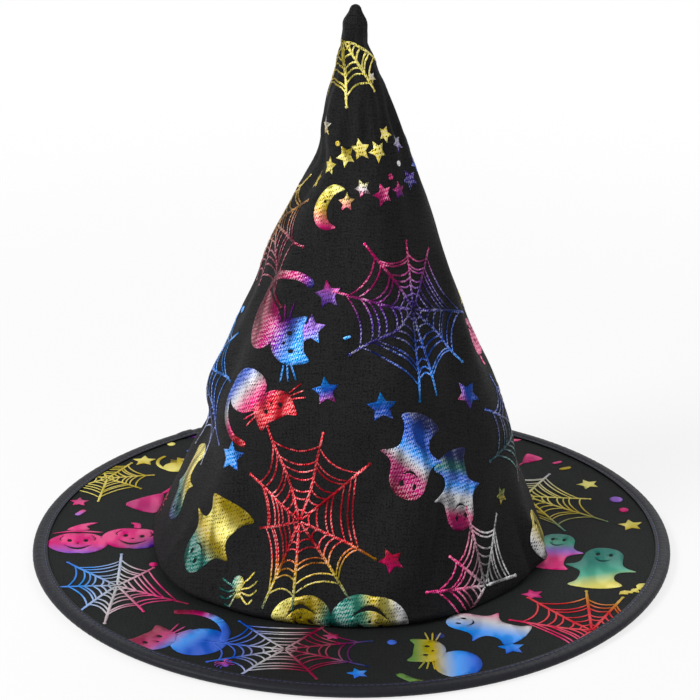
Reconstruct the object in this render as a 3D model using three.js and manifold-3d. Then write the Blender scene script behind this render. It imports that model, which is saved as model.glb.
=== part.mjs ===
// A costume witch hat: a soft cloth cone stiffened by an inner cone, sewn to a flat
// three-layer brim whose edge is bound with folded tape over a steel hoop.
// Millimetres, +Z up. The origin is the middle of the brim, on the surface it lies on.

import * as THREE from 'three';
import { mergeVertices } from 'three/addons/utils/BufferGeometryUtils.js';
import Module from 'manifold-3d';

const wasm = await Module();
wasm.setup();

// ---------------------------------------------------------------- overall sizes
const BRIM_RADIUS = 170;      // to the outside of the edge binding
const HAT_HEIGHT = 298;       // from the table to the tip
const HEAD_RADIUS = 95;       // inside the head band, for a head of about 59 cm
const HEM_OVERHANG = 7.4;     // how far the crown's rolled hem stands out past its seam
const CROWN_DIP = 3.5;        // how far the crown's side sinks below a straight cone
const TIP_RADIUS = 3;         // the turned-out point of the cone

// ---------------------------------------------------------------- cloth and tape
const PRINTED_CLOTH = 0.5;    // thickness of the crown's and brim's printed cloth
const BACKING_CLOTH = 0.4;    // thickness of the plain cloth under the brim
const CROWN_STIFFENER = 1.0;  // thickness of the non-woven cone inside the crown
const BRIM_STIFFENER = 1.5;   // thickness of the felted ring inside the brim
const BINDING_TAPE = 0.8;     // bias tape with its edges turned in, so two layers
const BINDING_WIDTH = 8;      // tape that shows on each face of the brim
const BAND_TAPE = 0.8;        // thickness of the head band
const BAND_WIDTH = 24;        // height of the head band
const SEAM_ALLOWANCE = 9;     // cloth turned in at the seams
const POINT_FILL = 38;        // the cone's point, too narrow for a seam to stand in
const HEM_ROLL = 4.5;         // radius of the crown's rolled hem

// ---------------------------------------------------------------- hoop and thread
const WIRE_DIAMETER = 1.2;
const SLEEVE_DIAMETER = 2.4;
const SLEEVE_BORE = 1.8;
const SLEEVE_LENGTH = 10;
const WIRE_END_GAP = 1;       // between the hoop's two ends, inside the sleeve
const THREAD = 0.5;           // thickness of a line of stitches at the seams
const NEEDLE_THREAD = 0.45;   // thickness of the stitches on the binding's upper face
const BOBBIN_THREAD = 0.4;    // thickness of those on its lower face
const STITCH_INSET = 1.6;     // from the tape's inner edge to its stitches
const STITCH_GROOVE = 0.55;   // how deep the stitches pull into the tape
const OVERLOCK = 1.0;         // thickness of the thread wrapped over a raw edge
const OVERLOCK_WIDTH = 3;     // how far it reaches in from the edge
const LAP_LENGTH = 12;        // where the binding's end laps over its start
const LAP_THICKNESS = 0.6;    // how far the lapped end stands up

// ---------------------------------------------------------------- clearances
const SLIP = 0.3;             // between curved pieces
const LAYER = 0.15;           // between flat layers
const STITCH_CLEARANCE = 0.1; // around a thread in its groove
const OVERRUN = 1;            // how far a cutting shape runs past what it cuts

// ---------------------------------------------------------------- mesh fineness
const TURNS = 48;             // segments round the hat, the same for every ring
const CROWN_STATIONS = 9;
const ROUND_STEPS = 3;
const THREAD_SIDES = 5;
const WIRE_SIDES = 6;
const SLEEVE_SIDES = 12;
const LAP_SEGMENT = 16;       // the one of those segments that holds the binding's lap
const MERGE_DISTANCE = 1e-4;  // vertices closer than this are one

// ---------------------------------------------------------------- levels of the brim
const backingZ = BINDING_TAPE + LAYER;
const stiffenerZ = backingZ + BACKING_CLOTH + LAYER;
const printZ = stiffenerZ + BRIM_STIFFENER + LAYER;
const upperTapeZ = printZ + PRINTED_CLOTH + LAYER;
const rimTopZ = upperTapeZ + BINDING_TAPE;
const hemZ = printZ + PRINTED_CLOTH + LAYER;
const edgeZ = hemZ + SEAM_ALLOWANCE;
const bandStitchZ = hemZ + SEAM_ALLOWANCE / 3;

// ---------------------------------------------------------------- radii at the seam
const bandOuter = HEAD_RADIUS + BAND_TAPE;
const backingInner = bandOuter + SLIP;
const printInner = backingInner + BACKING_CLOTH + SLIP;
const crownInner = printInner + PRINTED_CLOTH + SLIP;
const crownTurnOuter = crownInner + PRINTED_CLOTH;
const hemRadius = crownTurnOuter + HEM_OVERHANG;

// ---------------------------------------------------------------- radii at the rim
const tapeInner = BRIM_RADIUS - BINDING_WIDTH;
const sleeveReach = BRIM_RADIUS - BINDING_TAPE - SLIP;
const hoopRadius = sleeveReach - SLEEVE_DIAMETER / 2;
const clothOuter = hoopRadius - SLEEVE_DIAMETER / 2 - SLIP;
const hoopZ = (BINDING_TAPE + upperTapeZ) / 2;
const stitchRadius = tapeInner + STITCH_INSET;
const turnAngle = 2 * Math.PI / TURNS;
const lapAngle = (LAP_SEGMENT + 0.5) * turnAngle;  // its middle, at the back left

// ---------------------------------------------------------------- finishes
function finish(color, roughness, metalness = 0) {
  return new THREE.MeshStandardMaterial({ color, roughness, metalness });
}

const finishes = {
  print: finish(0x1d1d20, 0.7),
  backing: finish(0x17171a, 0.85),
  crownStiffener: finish(0x2a2a2c, 0.95),
  brimStiffener: finish(0x242426, 0.95),
  tape: finish(0x15161c, 0.6),
  band: finish(0x141416, 0.75),
  thread: finish(0x1c2338, 0.6),
  overlock: finish(0x202024, 0.7),
  wire: finish(0x9a9a9e, 0.35, 1),
  sleeve: finish(0xb0a890, 0.4, 1),
};

// ---------------------------------------------------------------- geometry helpers

/** Turns a clockwise outline of [radius, height] points round the Z axis. */
function turned(outline) {
  const points = outline.map(([radius, height]) => new THREE.Vector2(radius, height));
  const onAxis = outline[0][0] === 0 && outline.at(-1)[0] === 0;
  if (!onAxis) points.push(points[0].clone());
  return new THREE.LatheGeometry(points.reverse(), TURNS).rotateX(Math.PI / 2);
}

/** An outline that encloses the section between two radii and two heights. */
function rectangle(inner, outer, low, high) {
  return [[inner, high], [outer, high], [outer, low], [inner, low]];
}

/** The outline of a round section, clockwise, at a radius and height. */
function roundSection(radius, height, diameter, sides) {
  const points = [];
  for (let side = 0; side < sides; side += 1) {
    const angle = -2 * Math.PI * side / sides;
    points.push([
      radius + diameter / 2 * Math.cos(angle),
      height + diameter / 2 * Math.sin(angle),
    ]);
  }
  return points;
}

/** Moves a profile by a distance to its right-hand side, which is inwards from the tip down. */
function offset(profile, distance) {
  return profile.map(([radius, height], index) => {
    const before = profile[Math.max(index - 1, 0)];
    const after = profile[Math.min(index + 1, profile.length - 1)];
    const run = [after[0] - before[0], after[1] - before[1]];
    const length = Math.hypot(...run);
    return [radius + run[1] / length * distance, height - run[0] / length * distance];
  });
}

/** A closed mesh as a solid for cutting and joining. */
function solid(geometry) {
  const bare = geometry.clone();
  bare.deleteAttribute('normal');
  bare.deleteAttribute('uv');
  const merged = mergeVertices(bare, MERGE_DISTANCE);
  return new wasm.Manifold(new wasm.Mesh({
    numProp: 3,
    vertProperties: new Float32Array(merged.attributes.position.array),
    triVerts: new Uint32Array(merged.index.array),
  }));
}

/** A cut or joined solid as a mesh again. */
function surface(manifold) {
  const { vertProperties, triVerts } = manifold.getMesh();
  const geometry = new THREE.BufferGeometry();
  geometry.setAttribute('position', new THREE.BufferAttribute(vertProperties, 3));
  geometry.setIndex(new THREE.BufferAttribute(triVerts, 1));
  geometry.computeVertexNormals();
  return geometry;
}

/** A flat plate standing in the plane X = 0, from an outline of [y, z] points. */
function plate(outline, thickness) {
  const shape = new THREE.Shape(outline.map(([y, z]) => new THREE.Vector2(y, z)));
  const geometry = new THREE.ExtrudeGeometry(shape, { depth: thickness, bevelEnabled: false });
  geometry.translate(0, 0, -thickness / 2);
  geometry.rotateX(Math.PI / 2);
  geometry.rotateZ(Math.PI / 2);
  return geometry;
}

/**
 * Carries a piece that was made round the origin, along Y, out to a radius and a height,
 * and turns it to lie along the segment that holds the binding's lap.
 */
function across(geometry, radius, height) {
  const middle = radius * Math.cos(turnAngle / 2);
  return geometry.translate(middle, 0, height).rotateZ(lapAngle);
}

const hat = new THREE.Group();

function add(name, geometry, material) {
  const mesh = new THREE.Mesh(geometry, material);
  mesh.name = name;
  hat.add(mesh);
}

// ---------------------------------------------------------------- the crown's side
// One profile from the tip down to the hem carries the printed cone, its stiffener and
// the seam up the back.

/** The crown's outside, from the tip's round down to the top of the hem's roll. */
function crownProfile() {
  const top = [TIP_RADIUS, HAT_HEIGHT - TIP_RADIUS];
  const foot = [hemRadius, hemZ + HEM_ROLL];
  const profile = [];
  for (let step = 0; step < ROUND_STEPS; step += 1) {
    const angle = Math.PI / 2 * (1 - step / ROUND_STEPS);
    profile.push([
      step === 0 ? 0 : TIP_RADIUS * Math.cos(angle),
      top[1] + TIP_RADIUS * Math.sin(angle),
    ]);
  }
  for (let station = 0; station <= CROWN_STATIONS; station += 1) {
    const share = station / CROWN_STATIONS;
    profile.push([
      top[0] + (foot[0] - top[0]) * share - CROWN_DIP * Math.sin(Math.PI * share),
      top[1] + (foot[1] - top[1]) * share,
    ]);
  }
  return profile;
}

/** The inside of a wall of the given thickness under a profile that starts at the tip. */
function under(profile, thickness) {
  const inside = offset(profile, thickness);
  inside[0] = [0, profile[0][1] - thickness];
  return inside;
}

/** The hem's roll, from its widest point round to the brim. */
function hemRoll(radius, steps) {
  const points = [];
  for (let step = 1; step <= steps; step += 1) {
    const angle = Math.PI / 2 * step / steps;
    points.push([
      hemRadius - HEM_ROLL + radius * Math.cos(angle),
      hemZ + HEM_ROLL - radius * Math.sin(angle),
    ]);
  }
  return points;
}

const crownOutside = crownProfile();
const crownInside = under(crownOutside, PRINTED_CLOTH);

// ---------------------------------------------------------------- back seam
// The cloth's two edges are turned in together at the back and stand inside as a fin,
// which stops short of the cone's point.
const finThickness = 2 * PRINTED_CLOTH;
const finTop = HAT_HEIGHT - POINT_FILL;
const bandTopZ = backingZ + BAND_WIDTH;
const finFoot = bandTopZ + 2 * SLIP;

/** A profile's radius at a height, which its last run may be drawn out to reach. */
function radiusAt(profile, height) {
  const below = profile.findIndex((point) => point[1] <= height);
  const index = below === -1 ? profile.length - 1 : below;
  const [a, b] = [profile[index - 1], profile[index]];
  return a[0] + (b[0] - a[0]) * (a[1] - height) / (a[1] - b[1]);
}

/** The part of a profile between two heights, with points on both heights. */
function between(profile, low, high) {
  const inner = profile.filter(([, height]) => height < high && height > low);
  return [[radiusAt(profile, high), high], ...inner, [radiusAt(profile, low), low]];
}

/** The fin's outline from one depth under the crown's outside to another. */
function finOutline(outerDepth, innerDepth, low, high) {
  const outer = between(offset(crownOutside, outerDepth), low, high);
  const inner = between(offset(crownOutside, innerDepth), low, high);
  return [...outer, ...inner.reverse()];
}

const finDepth = PRINTED_CLOTH + SEAM_ALLOWANCE;
const fin = solid(plate(finOutline(PRINTED_CLOTH / 2, finDepth, finFoot, finTop), finThickness));

// ---------------------------------------------------------------- crown
const crownOutline = [
  ...crownOutside,
  ...hemRoll(HEM_ROLL, ROUND_STEPS),
  [crownInner, hemZ],
  [crownInner, edgeZ],
  [crownTurnOuter, edgeZ],
  [crownTurnOuter, hemZ + PRINTED_CLOTH],
  ...hemRoll(HEM_ROLL - PRINTED_CLOTH, ROUND_STEPS).reverse(),
  ...crownInside.toReversed(),
];
add('crown_shell', surface(solid(turned(crownOutline)).add(fin)), finishes.print);

const stiffenerOutside = under(crownOutside, PRINTED_CLOTH + SLIP);
const stiffenerInside = under(crownOutside, PRINTED_CLOTH + SLIP + CROWN_STIFFENER);
const stiffenerCone = solid(turned([...stiffenerOutside, ...stiffenerInside.toReversed()]));
const slitReach = PRINTED_CLOTH + SLIP + CROWN_STIFFENER + SLIP;
const slit = solid(plate(
  finOutline(0, slitReach, hemZ, finTop + SLIP),
  finThickness + 2 * SLIP,
));
add('crown_stiffener', surface(stiffenerCone.subtract(slit)), finishes.crownStiffener);

// The stitches that close the fin lie along one of its faces, just inside the stiffener.
const stitchDepth = slitReach + THREAD;
const seamLine = plate(
  finOutline(stitchDepth, stitchDepth + THREAD, finFoot, finTop),
  THREAD,
).translate(finThickness / 2 + SLIP + THREAD / 2, 0, 0);
add('back_seam_thread', seamLine, finishes.thread);

// Overlock thread wraps the fin's raw edge.
const overlockBlank = solid(plate(
  finOutline(finDepth - OVERLOCK_WIDTH, finDepth + SLIP + OVERLOCK / 2, finFoot, finTop),
  finThickness + 2 * SLIP + OVERLOCK,
));
const overlockSlot = solid(plate(
  finOutline(PRINTED_CLOTH / 2, finDepth + SLIP, finFoot - OVERRUN, finTop + OVERRUN),
  finThickness + 2 * SLIP,
));
add('back_seam_overlock', surface(overlockBlank.subtract(overlockSlot)), finishes.overlock);

// ---------------------------------------------------------------- brim layers
/** A flat ring whose inner edge is turned up into the crown. */
function turnedUpRing(inner, low, thickness) {
  return turned([
    [inner, edgeZ],
    [inner + thickness, edgeZ],
    [inner + thickness, low + thickness],
    [clothOuter, low + thickness],
    [clothOuter, low],
    [inner, low],
  ]);
}

add('brim_top', turnedUpRing(printInner, printZ, PRINTED_CLOTH), finishes.print);
add('brim_underside', turnedUpRing(backingInner, backingZ, BACKING_CLOTH), finishes.backing);
add(
  'brim_stiffener',
  turned(rectangle(printInner, clothOuter, stiffenerZ, stiffenerZ + BRIM_STIFFENER)),
  finishes.brimStiffener,
);

// ---------------------------------------------------------------- edge binding
const grooveWidth = THREAD + 2 * STITCH_CLEARANCE;
const grooveInner = stitchRadius - grooveWidth / 2;
const grooveOuter = stitchRadius + grooveWidth / 2;
const corner = BINDING_TAPE;
const bindingOutline = [
  [tapeInner, rimTopZ],
  [grooveInner, rimTopZ],
  [grooveInner, rimTopZ - STITCH_GROOVE],
  [grooveOuter, rimTopZ - STITCH_GROOVE],
  [grooveOuter, rimTopZ],
  [BRIM_RADIUS - corner, rimTopZ],
  [BRIM_RADIUS, rimTopZ - corner],
  [BRIM_RADIUS, corner],
  [BRIM_RADIUS - corner, 0],
  [grooveOuter, 0],
  [grooveOuter, STITCH_GROOVE],
  [grooveInner, STITCH_GROOVE],
  [grooveInner, 0],
  [tapeInner, 0],
  [tapeInner, BINDING_TAPE],
  [BRIM_RADIUS - BINDING_TAPE, BINDING_TAPE],
  [BRIM_RADIUS - BINDING_TAPE, upperTapeZ],
  [tapeInner, upperTapeZ],
];
const lapInner = grooveOuter + STITCH_CLEARANCE;
const lapOuter = BRIM_RADIUS - corner - STITCH_CLEARANCE;
const lapSink = BINDING_TAPE / 2;
const lap = new THREE.BoxGeometry(lapOuter - lapInner, LAP_LENGTH, LAP_THICKNESS + lapSink);
across(lap, (lapInner + lapOuter) / 2, rimTopZ + (LAP_THICKNESS - lapSink) / 2);
const binding = solid(turned(bindingOutline)).add(solid(lap));
add('edge_binding', surface(binding), finishes.tape);

const needleZ = rimTopZ - (STITCH_GROOVE - STITCH_CLEARANCE - NEEDLE_THREAD / 2);
const bobbinZ = STITCH_GROOVE - STITCH_CLEARANCE - BOBBIN_THREAD / 2;
add(
  'binding_needle_thread',
  turned(roundSection(stitchRadius, needleZ, NEEDLE_THREAD, THREAD_SIDES)),
  finishes.thread,
);
add(
  'binding_bobbin_thread',
  turned(roundSection(stitchRadius, bobbinZ, BOBBIN_THREAD, THREAD_SIDES)),
  finishes.thread,
);

// ---------------------------------------------------------------- hoop in the rim
const wireCut = WIRE_DIAMETER + 2 * OVERRUN;
const wireEnds = new THREE.BoxGeometry(wireCut, WIRE_END_GAP, wireCut);
const hoop = solid(turned(roundSection(hoopRadius, hoopZ, WIRE_DIAMETER, WIRE_SIDES)));
add(
  'rim_hoop',
  surface(hoop.subtract(solid(across(wireEnds, hoopRadius, hoopZ)))),
  finishes.wire,
);

const sleeve = solid(new THREE.CylinderGeometry(
  SLEEVE_DIAMETER / 2,
  SLEEVE_DIAMETER / 2,
  SLEEVE_LENGTH,
  SLEEVE_SIDES,
));
const sleeveBore = solid(new THREE.CylinderGeometry(
  SLEEVE_BORE / 2,
  SLEEVE_BORE / 2,
  SLEEVE_LENGTH + 2 * OVERRUN,
  SLEEVE_SIDES,
));
const sleeveTube = across(surface(sleeve.subtract(sleeveBore)), hoopRadius, hoopZ);
add('hoop_sleeve', sleeveTube, finishes.sleeve);

// ---------------------------------------------------------------- head opening
// The band stands upright, or leans in where the crown closes in on its top edge.
const bandRoom = radiusAt(stiffenerInside, bandTopZ) - SLIP;
const bandLean = Math.min(0, bandRoom - bandOuter);
add(
  'head_band',
  turned([
    [HEAD_RADIUS + bandLean, bandTopZ],
    [bandOuter + bandLean, bandTopZ],
    [bandOuter, bandStitchZ],
    [bandOuter, backingZ],
    [HEAD_RADIUS, backingZ],
    [HEAD_RADIUS, bandStitchZ],
  ]),
  finishes.band,
);
add(
  'head_band_thread',
  turned(roundSection(HEAD_RADIUS - SLIP - THREAD / 2, bandStitchZ, THREAD, THREAD_SIDES)),
  finishes.thread,
);
add(
  'crown_seam_thread',
  turned(roundSection(crownTurnOuter + SLIP + THREAD / 2, bandStitchZ, THREAD, THREAD_SIDES)),
  finishes.thread,
);
add(
  'seam_edge_overlock',
  turned(rectangle(backingInner, crownTurnOuter, edgeZ + SLIP, edgeZ + SLIP + OVERLOCK)),
  finishes.overlock,
);

export default hat;
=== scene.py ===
"""A costume witch hat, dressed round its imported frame.

The crown is one sheet of black cloth, printed with coloured foil, over a bonded cone. It
is sewn to a brim of two cloths over felt, and the brim's edge is bound with folded tape
over a steel hoop. Every size comes from the frame's nodes or is named here, in metres.
"""

from __future__ import annotations

import functools
import logging
import math
from dataclasses import dataclass
from enum import Enum
from typing import Callable, Iterable, Sequence

import bmesh
import bpy
import numpy as np
from mathutils import Matrix, Vector


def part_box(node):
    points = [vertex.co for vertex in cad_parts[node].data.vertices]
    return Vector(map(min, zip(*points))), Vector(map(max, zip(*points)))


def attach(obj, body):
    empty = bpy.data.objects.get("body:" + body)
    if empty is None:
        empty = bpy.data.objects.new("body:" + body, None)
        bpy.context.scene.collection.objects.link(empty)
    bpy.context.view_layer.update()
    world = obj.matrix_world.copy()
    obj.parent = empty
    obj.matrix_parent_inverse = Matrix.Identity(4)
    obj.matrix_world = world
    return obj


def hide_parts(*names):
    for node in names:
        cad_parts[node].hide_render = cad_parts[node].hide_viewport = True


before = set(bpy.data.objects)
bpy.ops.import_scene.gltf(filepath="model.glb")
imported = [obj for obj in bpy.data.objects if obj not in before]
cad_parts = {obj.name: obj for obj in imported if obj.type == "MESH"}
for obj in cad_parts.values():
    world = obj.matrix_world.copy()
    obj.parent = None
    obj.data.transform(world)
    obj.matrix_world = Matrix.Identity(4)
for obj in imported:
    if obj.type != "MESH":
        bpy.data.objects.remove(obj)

log = logging.getLogger("witch_hat")

MM = 0.001
WELD = 0.001 * MM         # vertices closer than this are one
UPRIGHT = 0.94            # a path steeper than this is upright
BODY = "root"             # the hat has no joints, so it is one body
FLAT = "flat"             # the UV map that holds a cloth's flat pattern, in metres
FOIL = "foil"             # the colour attribute that holds the foil's colours

Array = np.ndarray
Mesh = bmesh.types.BMesh
Piece = bpy.types.Object
Place = Callable[[Array, Array], Array]
Point = tuple[float, float]


def smooth_step(share: Array) -> Array:
    """An even rise from 0 to 1 as the share goes from 0 to 1."""
    share = np.clip(share, 0.0, 1.0)
    return share * share * (3.0 - 2.0 * share)


def stacked(*parts: Array) -> Array:
    """Coordinates given one axis at a time, as one row a point."""
    return np.stack(np.broadcast_arrays(*parts), axis=-1)


# --- sizes ---


@dataclass(frozen=True)
class HatFrame:
    """The sizes that the pieces are made to, read from the frame's nodes, in metres."""

    tip_height: float
    hem_radius: float
    turn_radius: float
    turn_top: float
    fin_top: float
    fin_foot: float
    band_outer: float
    band_top: float
    band_foot: float
    cloth_outer: float
    felt_foot: float
    felt_top: float
    backing_foot: float
    brim_radius: float
    stitch_radius: float
    hoop_radius: float
    hoop_height: float
    print_cloth: float = 0.5 * MM
    backing_cloth: float = 0.4 * MM
    liner: float = 1.0 * MM
    tape: float = 0.8 * MM
    slip: float = 0.3 * MM
    layer: float = 0.15 * MM
    hem_roll: float = 4.5 * MM
    thread: float = 0.5 * MM
    wire: float = 1.2 * MM

    @classmethod
    def read(cls) -> HatFrame:
        """Reads the sizes from the boxes of the frame's nodes.

        Returns:
            The sizes.
        """
        shell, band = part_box("crown_shell"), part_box("head_band")
        felt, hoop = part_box("brim_stiffener"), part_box("rim_hoop")
        overlock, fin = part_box("seam_edge_overlock"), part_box("back_seam_thread")
        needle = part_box("binding_needle_thread")
        return cls(
            tip_height=shell[1].z,
            hem_radius=shell[1].x,
            turn_radius=overlock[1].x,
            turn_top=overlock[0].z - cls.slip,
            fin_top=fin[1].z,
            fin_foot=fin[0].z,
            band_outer=band[1].x,
            band_top=band[1].z,
            band_foot=band[0].z,
            cloth_outer=felt[1].x,
            felt_foot=felt[0].z,
            felt_top=felt[1].z,
            backing_foot=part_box("brim_underside")[0].z,
            brim_radius=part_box("edge_binding")[1].x,
            stitch_radius=needle[1].x - cls.thread / 2,
            hoop_radius=hoop[1].x - cls.wire / 2,
            hoop_height=(hoop[0].z + hoop[1].z) / 2,
        )

    @property
    def print_top(self) -> float:
        """Height of the brim's printed face."""
        return self.felt_top + self.layer + self.print_cloth


# --- surfaces ---


@dataclass(frozen=True)
class Swell:
    """A band round the cone that stands proud, or in, of its straight side, or is pushed aside."""

    height: float
    rise: float
    reach: float

    def at(self, height: Array) -> Array:
        """Its rise at each height, both in millimetres."""
        return self.rise * np.exp(-((height - self.height) / self.reach) ** 2)


@dataclass(frozen=True)
class Fold:
    """A ridge that runs down the cloth, or a valley where its rise is negative.

    Angles are in degrees from the front towards +X, and lengths in millimetres. The drift
    is how many degrees it moves for each millimetre of height.
    """

    angle: float
    height: float
    rise: float
    width: float
    reach: float
    drift: float = 0.0
    corner: float = 4.0

    def at(self, angle: Array, height: Array, radius: Array) -> Array:
        """Its rise in millimetres.

        Args:
            angle: radians from the front, for each place.
            height: millimetres up.
            radius: millimetres out.

        Returns:
            The rise at each place.
        """
        middle = np.radians(self.angle + self.drift * (height - self.height))
        turn = (angle - middle + math.pi) % (2 * math.pi) - math.pi
        across = np.sqrt((turn * radius) ** 2 + self.corner**2) - self.corner
        along = np.exp(-((height - self.height) / self.reach) ** 2)
        return self.rise * along * np.exp(-across / self.width)


@dataclass(frozen=True)
class Panel:
    """One of the cone's soft flats: the way it faces, and how close it comes to the axis."""

    angle: float
    closeness: float


class CrownShape:
    """Where the crown's printed face lies, for every place on its flat pattern."""

    TIP_RADIUS = 3.0 * MM
    DIP = 3.5 * MM
    TURN_CORNER = 0.8 * MM
    PANEL_POWER = 20.0
    PANELS = (
        Panel(-13, 0.962), Panel(50, 0.952), Panel(97, 0.968), Panel(141, 0.955),
        Panel(188, 0.962), Panel(233, 0.950), Panel(280, 0.958),
    )
    SWELLS = (
        Swell(103, 1.8, 26), Swell(228, -2.4, 26), Swell(264, -1.6, 10),
        Swell(277, -0.9, 3), Swell(289, 0.9, 3.5), Swell(38, -1.8, 22),
    )
    SIDEWAYS = (
        Swell(214, 5.4, 36), Swell(262, 1.6, 22), Swell(298, 1.8, 16),
        Swell(152, 1.6, 34), Swell(70, 2.0, 16), Swell(8, -2.2, 22),
    )
    BACKWARDS = (Swell(225, 3.0, 60), Swell(300, -3.5, 40), Swell(110, -1.0, 30))
    FOLDS = (
        Fold(-92, 69, -5.0, 22, 12),
        Fold(-95, 97, 2.2, 26, 14),
        Fold(90, 90, 2.2, 34, 24),
        Fold(-78, 216, -5.9, 14, 13),
        Fold(-52, 203, -2.2, 7, 22, corner=2.5),
        Fold(23, 140, 2.1, 8, 62, drift=0.09, corner=2.0),
        Fold(31, 128, -1.8, 9, 46, drift=0.09, corner=3),
        Fold(28, 192, -3.4, 5, 30, drift=0.07, corner=2.0),
        Fold(17, 188, 2.2, 7, 34, drift=0.07, corner=2.0),
        Fold(9, 66, -2.8, 9, 24, drift=0.45, corner=2.5),
        Fold(22, 52, 2.1, 12, 16),
        Fold(28, 44, -2.5, 6, 26, drift=0.18, corner=2.0),
        Fold(-36, 52, -3.1, 7, 42, drift=-0.27, corner=2.0),
        Fold(-26, 60, 2.0, 12, 34, drift=-0.2),
        Fold(12, 24, 2.2, 14, 12),
        Fold(73, 14, 4.2, 4.5, 15, corner=2.5),
        Fold(66, 14, -2.5, 5, 18, corner=2.0),
        Fold(-62, 26, 2.2, 9, 24, drift=0.2, corner=2),
        Fold(118, 60, -3.4, 10, 34, drift=0.3, corner=2),
        Fold(128, 66, 2.2, 12, 40, drift=0.3),
        Fold(160, 120, 2.1, 10, 60, drift=-0.1, corner=2.0),
        Fold(150, 30, -2.8, 8, 20, corner=2.0),
        Fold(205, 90, -2.8, 10, 44, drift=0.16, corner=2),
        Fold(216, 40, 2.5, 10, 26),
        Fold(244, 130, 2.1, 8, 52, drift=-0.12, corner=2.0),
        Fold(252, 34, -2.5, 8, 22, corner=2.0),
        Fold(140, 214, -3.6, 12, 14),
        Fold(196, 206, 2.0, 8, 20),
        Fold(0, 280, -2.2, 3.4, 5, corner=1.6),
        Fold(-40, 290, 1.4, 3, 3, corner=1.6),
        Fold(75, 277, -1.8, 4, 6, corner=1.6),
        Fold(150, 283, 1.7, 3, 7, corner=1.6),
        Fold(230, 274, -2.1, 4, 8, corner=1.6),
    )
    # How flat the panels are at the hem and above it, and the heights between which that
    # changes; these and the next sizes are in millimetres.
    HEM_FLATNESS, FLATNESS, FLAT_FROM, FLAT_OVER = 0.30, 0.34, 15, 60
    SEAM_DIP, SEAM_WIDTH = 1.2, 2.4         # how far and how wide the back seam draws in
    SEAM_TOP, SEAM_FADE = 292, 20
    PUCKER, PUCKER_LENGTH, PUCKER_WIDTH = 0.45, 9.0, 6.0
    CRUMPLE, CRUMPLE_FADE = 0.14, 25        # the rise of one wave, and the radius that stills it
    CRUMPLE_WAVES = 26
    CRUMPLE_TURNS = (2, 15)
    CRUMPLE_CLIMB = 0.16
    CRUMPLE_SEED = 31
    POINT = 2.5 * MM                        # the radius below which the tip keeps its shape
    ANGLE_STEP = 0.006
    REACH_STEP = 0.6 * MM

    def __init__(self, hat: HatFrame) -> None:
        """Draws the crown's side from the tip down, round the hem and up its turned edge.

        Args:
            hat: the sizes that it keeps to.
        """
        self.hat = hat
        outline = self._outline()
        runs = np.linalg.norm(np.diff(outline, axis=0), axis=1)
        self.reaches = np.concatenate([[0.0], np.cumsum(runs)])
        self.radii, self.heights = outline[:, 0], outline[:, 1]
        widest = int(np.argmax(self.radii))
        self.hem_reach = float(self.reaches[widest])
        self.end_reach = float(self.reaches[-1])
        self.fan = hat.hem_radius / self.hem_reach
        rng = np.random.RandomState(self.CRUMPLE_SEED)
        self.waves = stacked(
            rng.randint(*self.CRUMPLE_TURNS, self.CRUMPLE_WAVES).astype(float),
            rng.uniform(-self.CRUMPLE_CLIMB, self.CRUMPLE_CLIMB, self.CRUMPLE_WAVES),
            rng.uniform(0, 2 * math.pi, self.CRUMPLE_WAVES),
        )
        self.panel_mean = float(self._panels(np.linspace(-math.pi, math.pi, 721)).mean())

    def _outline(self) -> Array:
        """The printed face's section as rows of radius and height, from the tip.

        Returns:
            The rows, in metres.
        """
        hat, tip = self.hat, self.TIP_RADIUS
        tuck = hat.print_top + hat.layer
        turn = hat.turn_radius - hat.print_cloth
        points = [
            (tip * math.sin(a), hat.tip_height - tip + tip * math.cos(a))
            for a in np.linspace(0, math.pi / 2, 7)
        ]
        foot = tuck + hat.hem_roll
        for share in np.linspace(0.01, 1, 80):
            dip = self.DIP * math.sin(math.pi * share)
            radius = tip + (hat.hem_radius - tip) * share - dip
            points.append((radius, hat.tip_height - tip + (foot - hat.tip_height + tip) * share))
        for a in np.linspace(0, math.pi / 2, 9)[1:]:
            out = hat.hem_roll * math.cos(a)
            points.append((hat.hem_radius - hat.hem_roll + out, foot - hat.hem_roll * math.sin(a)))
        bend = self.TURN_CORNER
        for a in np.linspace(0, math.pi / 2, 5):
            points.append((turn + bend - bend * math.sin(a), tuck + bend - bend * math.cos(a)))
        points.append((turn, hat.turn_top))
        return np.array(points)

    def _panels(self, angle: Array) -> Array:
        """The radius of a rounded polygon of the cone's flats, for a circle of 1.

        Args:
            angle: radians from the front.

        Returns:
            The radius at each angle.
        """
        total = np.zeros_like(angle)
        for panel in self.PANELS:
            facing = np.cos(angle - math.radians(panel.angle))
            total += (np.maximum(facing, 1e-6) / panel.closeness) ** self.PANEL_POWER
        return total ** (-1 / self.PANEL_POWER)

    def reach_at(self, height: float) -> float:
        """How far down the side a height lies."""
        side = self.reaches <= self.hem_reach
        return float(np.interp(-height, -self.heights[side], self.reaches[side]))

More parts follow.
